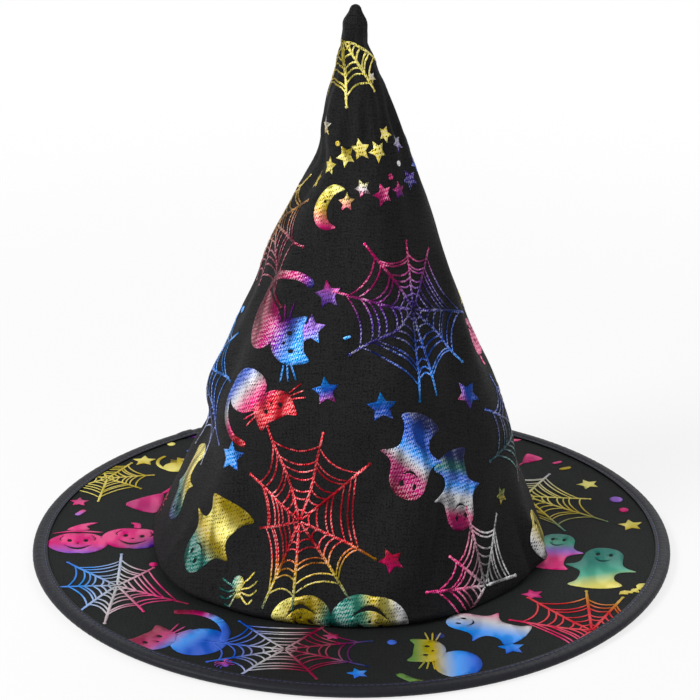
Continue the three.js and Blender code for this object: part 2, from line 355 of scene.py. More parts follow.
    def _sculpt(self, angle: Array, radius: Array, height: Array) -> Array:
        """How far out of round the cloth stands.

        Args:
            angle: radians from the front, for each place.
            radius: millimetres out.
            height: millimetres up.

        Returns:
            Millimetres outwards.
        """
        panels = self._panels(angle) - self.panel_mean
        rise = smooth_step((height - self.FLAT_FROM) / self.FLAT_OVER)
        flatness = self.HEM_FLATNESS + self.FLATNESS * rise
        out = radius * flatness * panels
        out = out + sum(swell.at(height) for swell in self.SWELLS)
        out = out + sum(fold.at(angle, height, radius) for fold in self.FOLDS)
        crumple = sum(
            np.sin(turns * angle + rise * height + start) for turns, rise, start in self.waves
        )
        out = out + self.CRUMPLE * crumple * smooth_step(radius / self.CRUMPLE_FADE)
        aside = (math.pi - np.abs(angle)) * radius
        seam = smooth_step((self.SEAM_TOP - height) / self.SEAM_FADE)
        pucker = self.PUCKER * np.cos(2 * math.pi * height / self.PUCKER_LENGTH)
        out = out + seam * pucker * np.exp(-aside / self.PUCKER_WIDTH)
        return out - seam * self.SEAM_DIP * np.exp(-aside / self.SEAM_WIDTH)

    def _surface(self, angle: Array, reach: Array) -> Array:
        """Places on the printed face itself.

        Args:
            angle: radians from the front towards +X.
            reach: metres down the side from the tip.

        Returns:
            One row of x, y and z for each place.
        """
        radius = np.interp(reach, self.reaches, self.radii)
        height = np.interp(reach, self.reaches, self.heights)
        tuck = self.hat.hem_roll * math.pi / 2
        hold = 1 - smooth_step((reach - self.hem_reach) / tuck)
        high = height / MM
        out = self._sculpt(angle, radius / MM, high) * MM * hold
        radius = np.maximum(radius + out * smooth_step(radius / self.POINT), 0.0)
        aside = sum(swell.at(high) for swell in self.SIDEWAYS) * MM * hold
        back = sum(swell.at(high) for swell in self.BACKWARDS) * MM * hold
        return stacked(radius * np.sin(angle) + aside, back - radius * np.cos(angle), height)

    def at(self, angle: Array, reach: Array, lift: Array | float = 0.0) -> Array:
        """Places on the crown, lifted outwards from its printed face.

        Args:
            angle: radians from the front towards +X.
            reach: metres down the side from the tip.
            lift: metres outwards, square to the face.

        Returns:
            One row of x, y and z for each place.
        """
        angle, reach = np.broadcast_arrays(np.asarray(angle, float), np.asarray(reach, float))
        here = self._surface(angle, reach)
        if np.all(np.asarray(lift) == 0):
            return here
        step = self.REACH_STEP
        round_ = self._surface(angle + self.ANGLE_STEP, reach) - self._surface(
            angle - self.ANGLE_STEP, reach
        )
        up = self._surface(angle, np.maximum(reach - step, 0)) - self._surface(
            angle, reach + step
        )
        normal = np.cross(round_, up)
        normal[..., 2] += 1e-12
        normal /= np.linalg.norm(normal, axis=-1, keepdims=True)
        return here + normal * np.broadcast_to(lift, angle.shape)[..., None]

    def pattern(self, angle: Array, reach: Array) -> Array:
        """Where a place lies on the flat pattern, whose apex is the origin."""
        turn = angle * self.fan
        return stacked(reach * np.sin(turn), -reach * np.cos(turn))

    def from_pattern(self, flat: Array, lift: Array) -> Array:
        """Places on the crown for rows of flat pattern.

        Args:
            flat: x and y on the pattern.
            lift: metres above the printed face.

        Returns:
            Rows of x, y and z.
        """
        reach = np.hypot(flat[:, 0], flat[:, 1])
        angle = np.arctan2(flat[:, 0], -flat[:, 1]) / self.fan
        return self.at(angle, reach, lift)

    def anchor(self, angle: float, height: float) -> Matrix:
        """Where a foil shape lies on the flat pattern, its up towards the tip.

        Args:
            angle: degrees from the front towards +X.
            height: millimetres up the crown.

        Returns:
            The shape's frame, in metres.
        """
        reach = self.reach_at(height * MM)
        turn = math.radians(angle) * self.fan
        spin = Matrix.Rotation(turn, 3, "Z")
        place = spin @ Vector((0, -reach, 0))
        return Matrix.Translation(place) @ spin.to_4x4()


class BrimShape:
    """How the flat brim is lifted and rumpled, the same for all its layers."""

    WAVES = ((2, 0.9, 0.50), (3, 2.2, 0.32), (5, 4.0, 0.14))
    RISE = 1.3 * MM
    RUMPLE = 0.16 * MM
    RUMPLES = ((61.0, 23.0, 0.4), (-34.0, 57.0, 2.1), (88.0, -47.0, 3.3), (25.0, 96.0, 5.0))
    START = 104 * MM
    FULL = 160 * MM
    RUMPLE_EDGE = 12 * MM

    def lift(self, x: Array, y: Array) -> Array:
        """How far the brim stands above the flat at each place.

        Args:
            x: metres along +X.
            y: metres along +Y.

        Returns:
            Metres up.
        """
        radius, angle = np.hypot(x, y), np.arctan2(y, x)
        total = sum(share * np.sin(turns * angle + start) for turns, start, share in self.WAVES)
        level = sum(share for _, _, share in self.WAVES)
        rise = self.RISE * (total + level) / (2 * level)
        return rise * smooth_step((radius - self.START) / (self.FULL - self.START))

    def rumple(self, x: Array, y: Array) -> Array:
        """The printed cloth's own small waves, away from its two sewn edges.

        Args:
            x: metres along +X.
            y: metres along +Y.

        Returns:
            Metres up.
        """
        radius = np.hypot(x, y)
        inside = smooth_step((radius - self.START) / self.RUMPLE_EDGE)
        inside = inside * smooth_step((self.FULL - radius) / self.RUMPLE_EDGE)
        return self.RUMPLE * inside * sum(np.sin(a * x + b * y + c) for a, b, c in self.RUMPLES)

    def raised(self, points: Array) -> Array:
        """Points of a flat brim, lifted with it.

        Args:
            points: rows of x, y and z.

        Returns:
            The lifted rows.
        """
        points = np.array(points, float)
        points[..., 2] += self.lift(points[..., 0], points[..., 1])
        return points


# --- meshes ---


def graded(share: Array, low: float, high: float, weight: Callable[[Array], Array]) -> Array:
    """Spreads even shares over a range, closer together where the weight is greater.

    Args:
        share: even shares from 0 to 1.
        low: the place that share 0 gets.
        high: the place that share 1 gets.
        weight: how closely the places lie, for rows of places.

    Returns:
        The place of each share.
    """
    places = np.linspace(low, high, 4001)
    total = np.concatenate([[0.0], np.cumsum(weight(places[1:]))])
    return np.interp(share * total[-1], total, places)


def mapped_grid(
    columns: int, rows: int, place: Place, flat: Place | None = None
) -> Mesh:
    """Makes a grid of quads, puts each of its points where a mapping says, and merges doubles.

    Args:
        columns: faces along the first share.
        rows: faces along the second share.
        place: takes two shares, from 0 to 1, and returns places in metres.
        flat: takes the same shares and returns places on the flat pattern, in metres.

    Returns:
        The mesh, with the flat places as its UV map.
    """
    mesh = bmesh.new()
    bmesh.ops.create_grid(mesh, x_segments=columns, y_segments=rows, size=0.5)
    shares = np.clip(np.array([vert.co[:2] for vert in mesh.verts]) + 0.5, 0.0, 1.0)
    places = place(shares[:, 0], shares[:, 1])
    if flat is not None:
        layer = mesh.loops.layers.uv.new(FLAT)
        spots = flat(shares[:, 0], shares[:, 1])
        for face in mesh.faces:
            for loop in face.loops:
                loop[layer].uv = spots[loop.vert.index]
    for vert, co in zip(mesh.verts, places):
        vert.co = co
    bmesh.ops.remove_doubles(mesh, verts=mesh.verts, dist=WELD)
    return mesh


def tube(
    path: Callable[[Array], Array], radius: float, steps: int, sides: int = 6, closed: bool = True
) -> Mesh:
    """Makes a round tube along a path.

    Args:
        path: takes shares from 0 to 1 and returns places in metres.
        radius: the tube's own radius.
        steps: sections along the path.
        sides: faces round the tube.
        closed: whether the path ends where it starts, otherwise its ends are capped.

    Returns:
        The tube's mesh.
    """

    def place(share: Array, turn: Array) -> Array:
        """Places round the path."""
        step = 0.25 / steps
        ahead, behind = share + step, share - step
        if not closed:
            ahead, behind = np.minimum(ahead, 1.0), np.maximum(behind, 0.0)
        along = path(ahead) - path(behind)
        along /= np.linalg.norm(along, axis=-1, keepdims=True)
        upright = np.abs(along[:, 2:]) > UPRIGHT
        lean = np.where(upright, [[1.0, 0.0, 0.0]], [[0.0, 0.0, 1.0]])
        side = np.cross(along, lean)
        side /= np.linalg.norm(side, axis=-1, keepdims=True)
        up = np.cross(side, along)
        turn = 2 * math.pi * turn[:, None]
        return path(share) + radius * (np.cos(turn) * side + np.sin(turn) * up)

    mesh = mapped_grid(steps, sides, place)
    if not closed:
        bmesh.ops.holes_fill(mesh, edges=[edge for edge in mesh.edges if edge.is_boundary])
    bmesh.ops.recalc_face_normals(mesh, faces=mesh.faces)
    return mesh


@dataclass(frozen=True)
class Stitching:
    """A row of lockstitches: small beads of thread that dip in at both ends."""

    length: float = 2.5 * MM
    width: float = 0.5 * MM
    height: float = 0.36 * MM
    sides: int = 6
    sections: int = 5

    def row(self, seats: Iterable[tuple[Vector, Vector, Vector]]) -> Mesh:
        """Makes one bead at each seat.

        Args:
            seats: a place, a direction and an outward way for each.

        Returns:
            The row's mesh.
        """
        mesh = bmesh.new()
        for place, along, out in seats:
            along = along.normalized()
            side = out.cross(along).normalized()
            turned = Matrix((side, along.cross(side), along)).transposed().to_4x4()
            scaled = Matrix.Diagonal((self.width / 2, self.height / 2, self.length / 2, 1))
            bmesh.ops.create_uvsphere(
                mesh,
                u_segments=self.sides,
                v_segments=self.sections,
                radius=1.0,
                matrix=Matrix.Translation(place) @ turned @ scaled,
            )
        return mesh


class Pieces:
    """Turns finished meshes into named pieces of the hat."""

    SHARP = math.radians(50)

    def __init__(self) -> None:
        """Starts with no pieces."""
        self.made: list[Piece] = []

    def add(
        self,
        name: str,
        mesh: Mesh,
        slot: str,
        finish: bpy.types.Material,
        nodes: Sequence[str] = (),
        wall: float = 0.0,
    ) -> Piece:
        """Makes a piece that rides on the hat.

        Args:
            name: the piece's name.
            mesh: its faces, in place and in metres; it is freed.
            slot: not used.
            finish: its material.
            nodes: the frame's nodes that it stands for.
            wall: thickness given to a sheet, behind its faces.

        Returns:
            The piece.
        """
        data = bpy.data.meshes.new(name)
        mesh.to_mesh(data)
        mesh.free()
        data.shade_smooth()
        data.set_sharp_from_angle(angle=self.SHARP)
        data.materials.append(finish)
        piece = bpy.data.objects.new(name, data)
        bpy.context.scene.collection.objects.link(piece)
        if wall:
            solidify = piece.modifiers.new("wall", "SOLIDIFY")
            solidify.thickness = wall
            solidify.offset = -1.0
            solidify.use_even_offset = False
            solidify.use_quality_normals = True
        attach(piece, BODY)
        if nodes:
            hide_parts(*nodes)
        self.made.append(piece)
        log.info("%s: %d faces", name, len(data.polygons))
        return piece


# --- materials ---

Colour = tuple[float, float, float, float]
Socket = bpy.types.NodeSocket
Inputs = dict[str | int, object]
FLOAT, VECTOR = "NodeSocketFloat", "NodeSocketVector"


def shade(red: float, green: float, blue: float) -> Colour:
    """An opaque colour from its three parts."""
    return (red, green, blue, 1.0)


def toned(colour: Colour, level: float) -> Colour:
    """A colour made darker or paler."""
    return shade(*(level * part for part in colour[:3]))


class Nodes:
    """Adds nodes to a tree, each fed by numbers or by other nodes' outputs."""

    def __init__(self, tree: bpy.types.NodeTree) -> None:
        """Takes the tree to build in."""
        self.tree = tree

    def add(self, kind: str, inputs: Inputs | None = None, **settings: object) -> bpy.types.Node:
        """Adds a node.

        Args:
            kind: the node's type, without the words that every shader node's starts with.
            inputs: what each of its inputs takes: a value, or an output to link.
            settings: the node's own options.

        Returns:
            The new node.
        """
        node = self.tree.nodes.new(kind if kind.startswith("Node") else "ShaderNode" + kind)
        for name, value in settings.items():
            setattr(node, name, value)
        for name, value in (inputs or {}).items():
            self.feed(node.inputs[name], value)
        return node

    def feed(self, socket: Socket, value: object) -> None:
        """Links an output to a socket, or sets the socket's own value."""
        if isinstance(value, bpy.types.NodeSocket):
            self.tree.links.new(value, socket)
        else:
            socket.default_value = value

    def math(self, operation: str, first: object, second: object = 0.0) -> Socket:
        """A sum of one or two numbers."""
        return self.add("Math", {0: first, 1: second}, operation=operation).outputs[0]

    def plus(self, *values: object) -> Socket:
        """The values added up."""
        return functools.reduce(functools.partial(self.math, "ADD"), values)

    def less(self, first: object, second: object) -> Socket:
        """The first value less the second."""
        return self.math("SUBTRACT", first, second)

    def times(self, *values: object) -> Socket:
        """The values multiplied."""
        return functools.reduce(functools.partial(self.math, "MULTIPLY"), values)

    def wave(self, place: Socket, scale: object) -> Socket:
        """The sine of a place times a scale, where a scale of 1 is half a wave."""
        return self.math("SINE", self.times(place, scale, math.pi))

    def hump(self, place: Socket, length: float) -> Socket:
        """Rounded humps of a length, side by side."""
        return self.math("ABSOLUTE", self.wave(place, 1 / length))

    def ramp(self, value: object, low: float, high: float, start: float, end: float) -> Socket:
        """A soft rise from start to end as the value goes from low to high."""
        inputs = {"Value": value, "From Min": low, "From Max": high, "To Min": start, "To Max": end}
        return self.add("MapRange", inputs, interpolation_type="SMOOTHSTEP").outputs["Result"]

    def blend(self, share: object, first: object, second: object) -> Socket:
        """A mix of two colours."""
        return self.add("Mix", {0: share, 6: first, 7: second}, data_type="RGBA").outputs[2]

    def noise(self, place: object, scale: float, detail: float = 2.0) -> Socket:
        """A soft noise between 0 and 1."""
        inputs = {"Vector": place, "Scale": scale, "Detail": detail}
        return self.add("TexNoise", inputs).outputs["Fac"]

    def vector(self, operation: str, inputs: Inputs) -> Socket:
        """A sum of vectors."""
        return self.add("VectorMath", inputs, operation=operation).outputs[0]

    def stretched(
        self, place: object, turn: float, scale: tuple[float, float, float] = (1, 1, 1)
    ) -> Socket:
        """A place turned by an angle in the plane, then scaled along each axis."""
        inputs = {"Vector": place, "Rotation": (0.0, 0.0, turn), "Scale": scale}
        return self.add("Mapping", inputs).outputs[0]

    def axes(self, place: object) -> object:
        """A place's three parts."""
        return self.add("SeparateXYZ", {0: place}).outputs


class Effect:
    """A shader node group with named inputs and outputs, built once."""

    name = ""
    inputs: tuple[tuple[str, str, float], ...] = ()
    outputs: tuple[str, ...] = ()

    def __init__(self) -> None:
        """Makes the group's sockets and its nodes."""
        self.tree = bpy.data.node_groups.new(self.name, "ShaderNodeTree")
        for label, kind, value in self.inputs:
            socket = self.tree.interface.new_socket(label, in_out="INPUT", socket_type=kind)
            if kind == FLOAT:
                socket.default_value = value
        for label in self.outputs:
            self.tree.interface.new_socket(label, in_out="OUTPUT", socket_type=FLOAT)
        nodes = Nodes(self.tree)
        source = nodes.add("NodeGroupInput").outputs
        nodes.add("NodeGroupOutput", self.build(nodes, source))

    def build(self, nodes: Nodes, source: object) -> Inputs:
        """Adds the group's nodes and returns what each output takes."""
        raise NotImplementedError

    def place(self, nodes: Nodes, **inputs: object) -> object:
        """Puts the group in a material, its inputs named in lower case, and returns its outputs."""
        named = {name.title(): value for name, value in inputs.items()}
        return nodes.add("Group", named, node_tree=self.tree).outputs


class PlainWeave(Effect):
    """Threads over and under each other: their height, and how thick each thread runs."""

    name = "plain_weave"
    inputs = (("Vector", VECTOR, 0.0), ("Threads", FLOAT, 1600.0), ("Slub", FLOAT, 0.5))
    outputs = ("Height", "Light")
    CROSSING, THREAD = 0.4, 0.6
    ALONG, ACROSS = 90, 1100                # how closely the slubs lie each way, to the metre
    SPECKS, SPECK = 1150.0, 2.4
    CONTRAST, BASE, RELIEF = 0.8, 0.3, 0.5

    def build(self, nodes: Nodes, source: object) -> Inputs:
        """Crosses two families of threads and varies their thickness along them.

        Args:
            nodes: where to add them.
            source: the group's inputs.

        Returns:
            What each output takes.
        """
        place = source["Vector"]
        axes = nodes.axes(place)
        across = nodes.wave(axes[0], source["Threads"])
        along = nodes.wave(axes[1], source["Threads"])
        over = nodes.times(across, along, self.CROSSING)
        warp = nodes.times(nodes.math("ABSOLUTE", across), self.THREAD)
        weft = nodes.times(nodes.math("ABSOLUTE", along), self.THREAD)
        top = nodes.math("MAXIMUM", nodes.plus(warp, over), nodes.less(weft, over))
        fine = nodes.noise(nodes.stretched(place, 0.0, (self.ACROSS, self.ALONG, 1)), 1.0)
        wide = nodes.noise(nodes.stretched(place, 0.0, (self.ALONG, self.ACROSS, 1)), 1.0)
        streak = nodes.less(nodes.plus(fine, wide), 1.0)
        speck = nodes.times(nodes.less(nodes.noise(place, self.SPECKS, 1.0), 0.5), self.SPECK)
        uneven = nodes.times(nodes.plus(streak, speck), source["Slub"])
        light = nodes.plus(nodes.times(top, self.CONTRAST), nodes.plus(uneven, self.BASE))
        return {
            "Height": nodes.plus(top, nodes.times(uneven, self.RELIEF)),
            "Light": nodes.add("Clamp", {0: light}).outputs[0],
        }


class FoilGrain(Effect):
    """Where a pressed foil holds to the cloth, where it has broken away in rows, and where it is given a
    painted highlight.
    """

    name = "foil_grain"
    inputs = (
        ("Vector", VECTOR, 0.0), ("Hold", FLOAT, 0.6), ("Rows", FLOAT, 0.2), ("Fray", FLOAT, 1.0)
    )
    outputs = ("Mask", "Glint")
    ROW, ROW_LEAN = 2.1 * MM, -0.22         # how far apart they lie, and their lean in radians
    STROKE, STROKE_LEAN, STROKE_SHARE = 1.12 * MM, 0.42, 1.3
    BENDS, BEND = 260.0, 1.6 * MM
    CRUMBS, CRUMB = 1300.0, 1.5
    PATCHES, PATCH = 130.0, 0.7

    def build(self, nodes: Nodes, source: object) -> Inputs:
        """Crosses leaning rows with steep strokes, both frayed by noise.

        Args:
            nodes: where to add them.
            source: the group's inputs.

        Returns:
            What each output takes.
        """
        place = source["Vector"]
        noise = nodes.add("TexNoise", {"Vector": place, "Scale": self.BENDS}).outputs["Color"]
        fray = nodes.vector("MULTIPLY", {0: noise, 1: (self.BEND, self.BEND, 0.0)})
        bent = nodes.vector("ADD", {0: place, 1: fray})
        rows = nodes.axes(nodes.stretched(bent, self.ROW_LEAN))[1]
        strokes = nodes.axes(nodes.stretched(bent, self.STROKE_LEAN))[0]
        row = nodes.times(nodes.wave(rows, 2 / self.ROW), source["Rows"])
        share = nodes.times(source["Rows"], self.STROKE_SHARE)
        stroke = nodes.times(nodes.wave(strokes, 2 / self.STROKE), share)
        crumbs = nodes.times(nodes.less(nodes.noise(place, self.CRUMBS, 1.0), 0.5), self.CRUMB)
        patches = nodes.times(nodes.less(nodes.noise(place, self.PATCHES, 1.0), 0.5), self.PATCH)
        frayed = nodes.times(nodes.plus(crumbs, patches), source["Fray"])
        total = nodes.plus(row, stroke, frayed, source["Hold"])
        return {
            "Mask": nodes.ramp(total, 0.22, 0.52, 0.0, 1.0),
            # where the foil holds best: the share of painted highlight, which the foil material blends
            # towards white
            "Glint": nodes.ramp(total, 0.55, 1.15, 0.0, 1.0),
        }


class Fibres(Effect):
    """Short fibres pressed flat at random, as in felt and bonded cloth."""

    name = "fibres"
    inputs = (("Vector", VECTOR, 0.0), ("Scale", FLOAT, 1.0))
    outputs = ("Height", "Light")
    TURNS = (0.3, 1.4, 2.5)
    STRAND = (2600, 260, 260)

    def build(self, nodes: Nodes, source: object) -> Inputs:
        """Lays three families of stretched noise over each other.

        Args:
            nodes: where to add them.
            source: the group's inputs.

        Returns:
            What each output takes.
        """
        scaled = nodes.vector("SCALE", {0: source["Vector"], "Scale": source["Scale"]})
        strands = [
            nodes.times(nodes.noise(nodes.stretched(scaled, turn, self.STRAND), 1.0, 3.0), 1 / 3)
            for turn in self.TURNS
        ]
        total = nodes.plus(*strands)
        return {"Height": total, "Light": nodes.ramp(total, 0.35, 0.65, 0.0, 1.0)}


class Finish:
    """One material: a Principled BSDF whose sockets are set or linked by name."""

    def __init__(self, name: str, **sockets: object) -> None:
        """Makes the material with plain values, each named as its socket is.

        Args:
            name: the material's name.
            sockets: values for the shader's sockets.
        """
        self.material = bpy.data.materials.new(name)
        self.material.use_nodes = True
        self.nodes = Nodes(self.material.node_tree)
        self.shader = self.material.node_tree.nodes["Principled BSDF"]
        self.set(**sockets)

    def set(self, **sockets: object) -> None:
        """Sets or links the shader's sockets, their names in lower case with underscores."""
        for name, value in sockets.items():
            title = name.replace("_", " ").title().replace("Ior", "IOR")
            self.nodes.feed(self.shader.inputs[title], value)

    def flat_place(self) -> Socket:
        """Where a point lies on the piece's flat pattern, in metres."""
        return self.nodes.add("UVMap", uv_map=FLAT).outputs[0]

    def object_place(self) -> Socket:
        """Where a point lies in the hat's frame, in metres."""
        return self.nodes.add("TexCoord").outputs["Object"]

    def bump(self, height: Socket, depth: float) -> None:
        """Links a height to the shader's normal."""
        self.set(normal=self.nodes.add("Bump", {"Height": height, "Distance": depth}).outputs[0])


@dataclass(frozen=True)
class Cloth:
    """A plain-woven cloth: its colours in the valleys and on the threads, and its threads."""

    name: str
    valley: Colour
    thread: Colour
    threads: float = 1500.0
    slub: float = 0.8
    depth: float = 0.12 * MM
    roughness: float = 0.72
    rough_range: float = 0.1
    sheen: float = 0.02

    def make(self, weave: PlainWeave) -> bpy.types.Material:
        """Builds the material.

        Args:
            weave: the effect that draws the threads.

        Returns:
            The material.
        """
        finish = Finish(
            self.name, sheen_weight=self.sheen, sheen_roughness=0.4,
            sheen_tint=shade(0.75, 0.78, 0.85), specular_ior_level=0.05,
        )
        nodes, rough, give = finish.nodes, self.roughness, self.rough_range
        threads = weave.place(
            nodes, vector=finish.flat_place(), threads=self.threads, slub=self.slub
        )
        light = threads["Light"]
        finish.set(
            base_color=nodes.blend(light, self.valley, self.thread),
            roughness=nodes.ramp(light, 0.0, 1.0, rough + give, rough - give),
        )
        finish.bump(threads["Height"], self.depth)
        return finish.material


@dataclass(frozen=True)
class Foil:
    """Coloured metal foil pressed on a cloth.

    It is given how well it holds, how much it breaks in rows and frays, how metallic and
    rough it is, how far its bump goes, how far the ink is whitened for its painted highlights,
    and how strongly painted reflection stripes of light and shade darken and lighten it.
    """

    name: str
    hold: float
    rows: float
    metal: float
    rough: float
    depth: float
    # how far the ink is whitened for the painted highlights
    pale: float
    fray: float
    # how strongly the painted reflection stripes darken and lighten the ink
    reflection_bands: float
    BROKEN = shade(0.008, 0.008, 0.009)
    # the colour of the painted highlights
    HIGHLIGHT_WHITE = shade(0.95, 0.94, 0.90)
    THREADS = 1500.0
    SLUB = 0.3
    # the size and lean of the painted reflection stripes, and how much their light parts brighten the ink
    REFLECTION_BAND = (105, 42, 1)
    REFLECTION_BAND_LEAN = 0.5
    HIGHLIGHT_GAIN = 0.35
    SATURATION = 1.06

    def make(self, weave: PlainWeave, grain: FoilGrain) -> bpy.types.Material:
        """Builds the material, coloured by the piece's own colour attribute, with painted
        highlights and painted reflection stripes of light and shade.

        Args:
            weave: the effect that draws the cloth's threads.
            grain: the effect that breaks the foil up.

        Returns:
            The material.
        """
        finish = Finish(self.name, specular_ior_level=0.12)
        nodes, place = finish.nodes, finish.flat_place()
        pressed = grain.place(nodes, vector=place, hold=self.hold, rows=self.rows, fray=self.fray)
        mask = pressed["Mask"]
        threads = weave.place(nodes, vector=place, threads=self.THREADS, slub=self.SLUB)
        ink = nodes.add("Attribute", attribute_name=FOIL).outputs["Color"]
        # painted reflection: leaning noise stripes scale the ink's value, darker in some places and brighter
        # in others, standing in for the light and shade that a metal foil reflects
        band = nodes.noise(nodes.stretched(place, self.REFLECTION_BAND_LEAN, self.REFLECTION_BAND), 1.0, 1.0)
        painted_shine = nodes.ramp(band, 0.36, 0.62, 0.0, 1.0)
        painted_light_level = nodes.ramp(painted_shine, 0.0, 1.0, 1.0 - self.reflection_bands, 1.0 + self.HIGHLIGHT_GAIN * self.reflection_bands)
        banded_ink = nodes.add(
            "HueSaturation", {"Saturation": self.SATURATION, "Value": painted_light_level, "Color": ink}
        ).outputs[0]
        # painted highlight: the ink blended towards white where the foil holds best and the painted
        # reflection is brightest
        pale = nodes.blend(self.pale, ink, self.HIGHLIGHT_WHITE)
        lit = nodes.blend(nodes.times(pressed["Glint"], painted_shine), banded_ink, pale)
        finish.set(
            base_color=nodes.blend(mask, self.BROKEN, lit),
            metallic=nodes.times(mask, self.metal),
            roughness=nodes.ramp(mask, 0.0, 1.0, 0.8, self.rough),
        )
        finish.bump(nodes.plus(nodes.times(mask, 0.8), threads["Height"]), self.depth)
        return finish.material


@dataclass(frozen=True)
class Tape:
    """A smooth tape with a fine diagonal rib."""

    name: str
    colour: Colour
    rib: float = 0.55 * MM
    lean: float = 0.78
    depth: float = 0.03 * MM

    def make(self, fibres: Fibres) -> bpy.types.Material:
        """Builds the material.

        Args:
            fibres: the effect that draws its fuzz.

        Returns:
            The material.
        """
        finish = Finish(
            self.name, sheen_weight=0.03, sheen_roughness=0.35,
            sheen_tint=shade(0.6, 0.68, 0.9), specular_ior_level=0.18,
        )
        nodes = finish.nodes
        rib = nodes.hump(nodes.axes(nodes.stretched(finish.flat_place(), self.lean))[0], self.rib)
        fuzz = fibres.place(nodes, vector=finish.object_place(), scale=1.0)
        light = nodes.plus(nodes.times(rib, 0.5), nodes.times(fuzz["Light"], 0.5))
        finish.set(
            base_color=nodes.blend(light, toned(self.colour, 0.6), toned(self.colour, 1.5)),
            roughness=nodes.ramp(light, 0.0, 1.0, 0.62, 0.42),
        )
        finish.bump(nodes.plus(rib, fuzz["Height"]), self.depth)
        return finish.material


@dataclass(frozen=True)
class Yarn:
    """Sewing thread, twisted round itself."""

    name: str
    colour: Colour
    twist: float = 0.45 * MM
    depth: float = 0.05 * MM

    def make(self, fibres: Fibres) -> bpy.types.Material:
        """Builds the material.

        Args:
            fibres: the effect that draws its fuzz.

        Returns:
            The material.
        """
        finish = Finish(self.name, sheen_weight=0.12, roughness=0.45, specular_ior_level=0.5)
        nodes, place = finish.nodes, finish.object_place()
        axes = nodes.axes(place)
        twist = nodes.hump(nodes.plus(axes[0], axes[1], axes[2]), self.twist)
        fuzz = fibres.place(nodes, vector=place, scale=1.4)
        light = nodes.plus(nodes.times(twist, 0.7), nodes.times(fuzz["Light"], 0.3))
        finish.set(base_color=nodes.blend(light, toned(self.colour, 0.45), self.colour))
        finish.bump(light, self.depth)
        return finish.material


@dataclass(frozen=True)
class Felted:
    """Fibres pressed or bonded into a sheet, with a faint pattern of bonding dots."""

    name: str
    colour: Colour
    scale: float
    dots: float
    pitch: float = 1.6 * MM
    lean: float = 0.785
    depth: float = 0.10 * MM

    def make(self, fibres: Fibres) -> bpy.types.Material:
        """Builds the material.

        Args:
            fibres: the effect that draws its fibres.

        Returns:
            The material.
        """
        finish = Finish(
            self.name, sheen_weight=0.05, sheen_roughness=0.5, roughness=0.9,
            specular_ior_level=0.2,
        )
        nodes = finish.nodes
        strands = fibres.place(nodes, vector=finish.object_place(), scale=self.scale)
        axes = nodes.axes(nodes.stretched(finish.flat_place(), self.lean))
        dot = nodes.times(nodes.wave(axes[0], 1 / self.pitch), nodes.wave(axes[1], 1 / self.pitch))
        dent = nodes.ramp(nodes.math("ABSOLUTE", dot), 0.45, 0.75, 0.0, self.dots)
        light = nodes.less(strands["Light"], nodes.times(dent, 0.5))
        finish.set(
            base_color=nodes.blend(light, toned(self.colour, 0.55), toned(self.colour, 1.6))
        )
        finish.bump(nodes.less(strands["Height"], dent), self.depth)
        return finish.material


@dataclass(frozen=True)
class Metal:
    """Drawn wire or tube, with fine scratches along it."""

    name: str
    colour: Colour
    rough: float = 0.3
    depth: float = 0.01 * MM

    def make(self, fibres: Fibres) -> bpy.types.Material:
        """Builds the material.

        Args:
            fibres: the effect that draws the scratches.

        Returns:
            The material.
        """
        finish = Finish(self.name, metallic=1.0)
        nodes = finish.nodes
        marks = fibres.place(nodes, vector=finish.object_place(), scale=0.8)
        light = marks["Light"]
        finish.set(
            base_color=nodes.blend(light, toned(self.colour, 0.75), self.colour),
            roughness=nodes.ramp(light, 0.0, 1.0, self.rough + 0.12, self.rough - 0.08),
        )
        finish.bump(marks["Height"], self.depth)
        return finish.material


class Finishes:
    """Every material of the hat, made once."""

    def __init__(self) -> None:
        """Builds the shared effects, then the materials."""
        weave, grain, fibres = PlainWeave(), FoilGrain(), Fibres()
        self.crown_cloth = Cloth(
            "crown_cloth", shade(0.0016, 0.0016, 0.002), shade(0.0172, 0.0172, 0.018), slub=0.95,
        ).make(weave)
        self.brim_cloth = Cloth(
            "brim_cloth", shade(0.003, 0.0033, 0.0033), shade(0.015, 0.0162, 0.016), slub=0.5,
            depth=0.08 * MM,
        ).make(weave)
        self.backing = Cloth(
            "backing_cloth", shade(0.004, 0.004, 0.0045), shade(0.020, 0.020, 0.021),
            threads=1900.0, slub=0.4,
        ).make(weave)
        # the pale and banding values set how strong the foils' painted highlights and painted reflection
        # stripes are
        self.crown_foil = Foil(
            "crown_foil", hold=0.67, rows=0.17, metal=0.45, rough=0.36, depth=0.10 * MM,
            pale=0.42, fray=1.0, reflection_bands=0.62,
        ).make(weave, grain)
        self.brim_foil = Foil(
            "brim_foil", hold=1.05, rows=0.04, metal=0.10, rough=0.50, depth=0.04 * MM,
            pale=0.05, fray=0.35, reflection_bands=0.2,
        ).make(weave, grain)
        self.tape = Tape("binding_tape", shade(0.006, 0.0065, 0.010)).make(fibres)
        self.blue_thread = Yarn("binding_thread", shade(0.012, 0.024, 0.11)).make(fibres)
        self.thread = Yarn("black_thread", shade(0.022, 0.022, 0.025)).make(fibres)
        self.overlock = Yarn("overlock_thread", shade(0.030, 0.030, 0.034), 0.6 * MM).make(fibres)
        self.grosgrain = Tape("head_band_tape", shade(0.010, 0.010, 0.012), 0.75 * MM).make(fibres)
        self.liner = Felted("crown_stiffener", shade(0.020, 0.020, 0.022), 0.7, 1.0).make(fibres)
        self.felt = Felted("brim_stiffener", shade(0.026, 0.026, 0.028), 0.5, 0.0).make(fibres)
        self.steel = Metal("hoop_wire", shade(0.55, 0.55, 0.57)).make(fibres)
        self.brass = Metal("hoop_sleeve", shade(0.72, 0.60, 0.34), 0.25).make(fibres)


# --- the crown ---


@dataclass
class Part:
    """A sub-assembly: the sizes, the shape that it follows, its finishes and where it goes."""

    hat: HatFrame
    shape: CrownShape | BrimShape
    finishes: Finishes
    pieces: Pieces


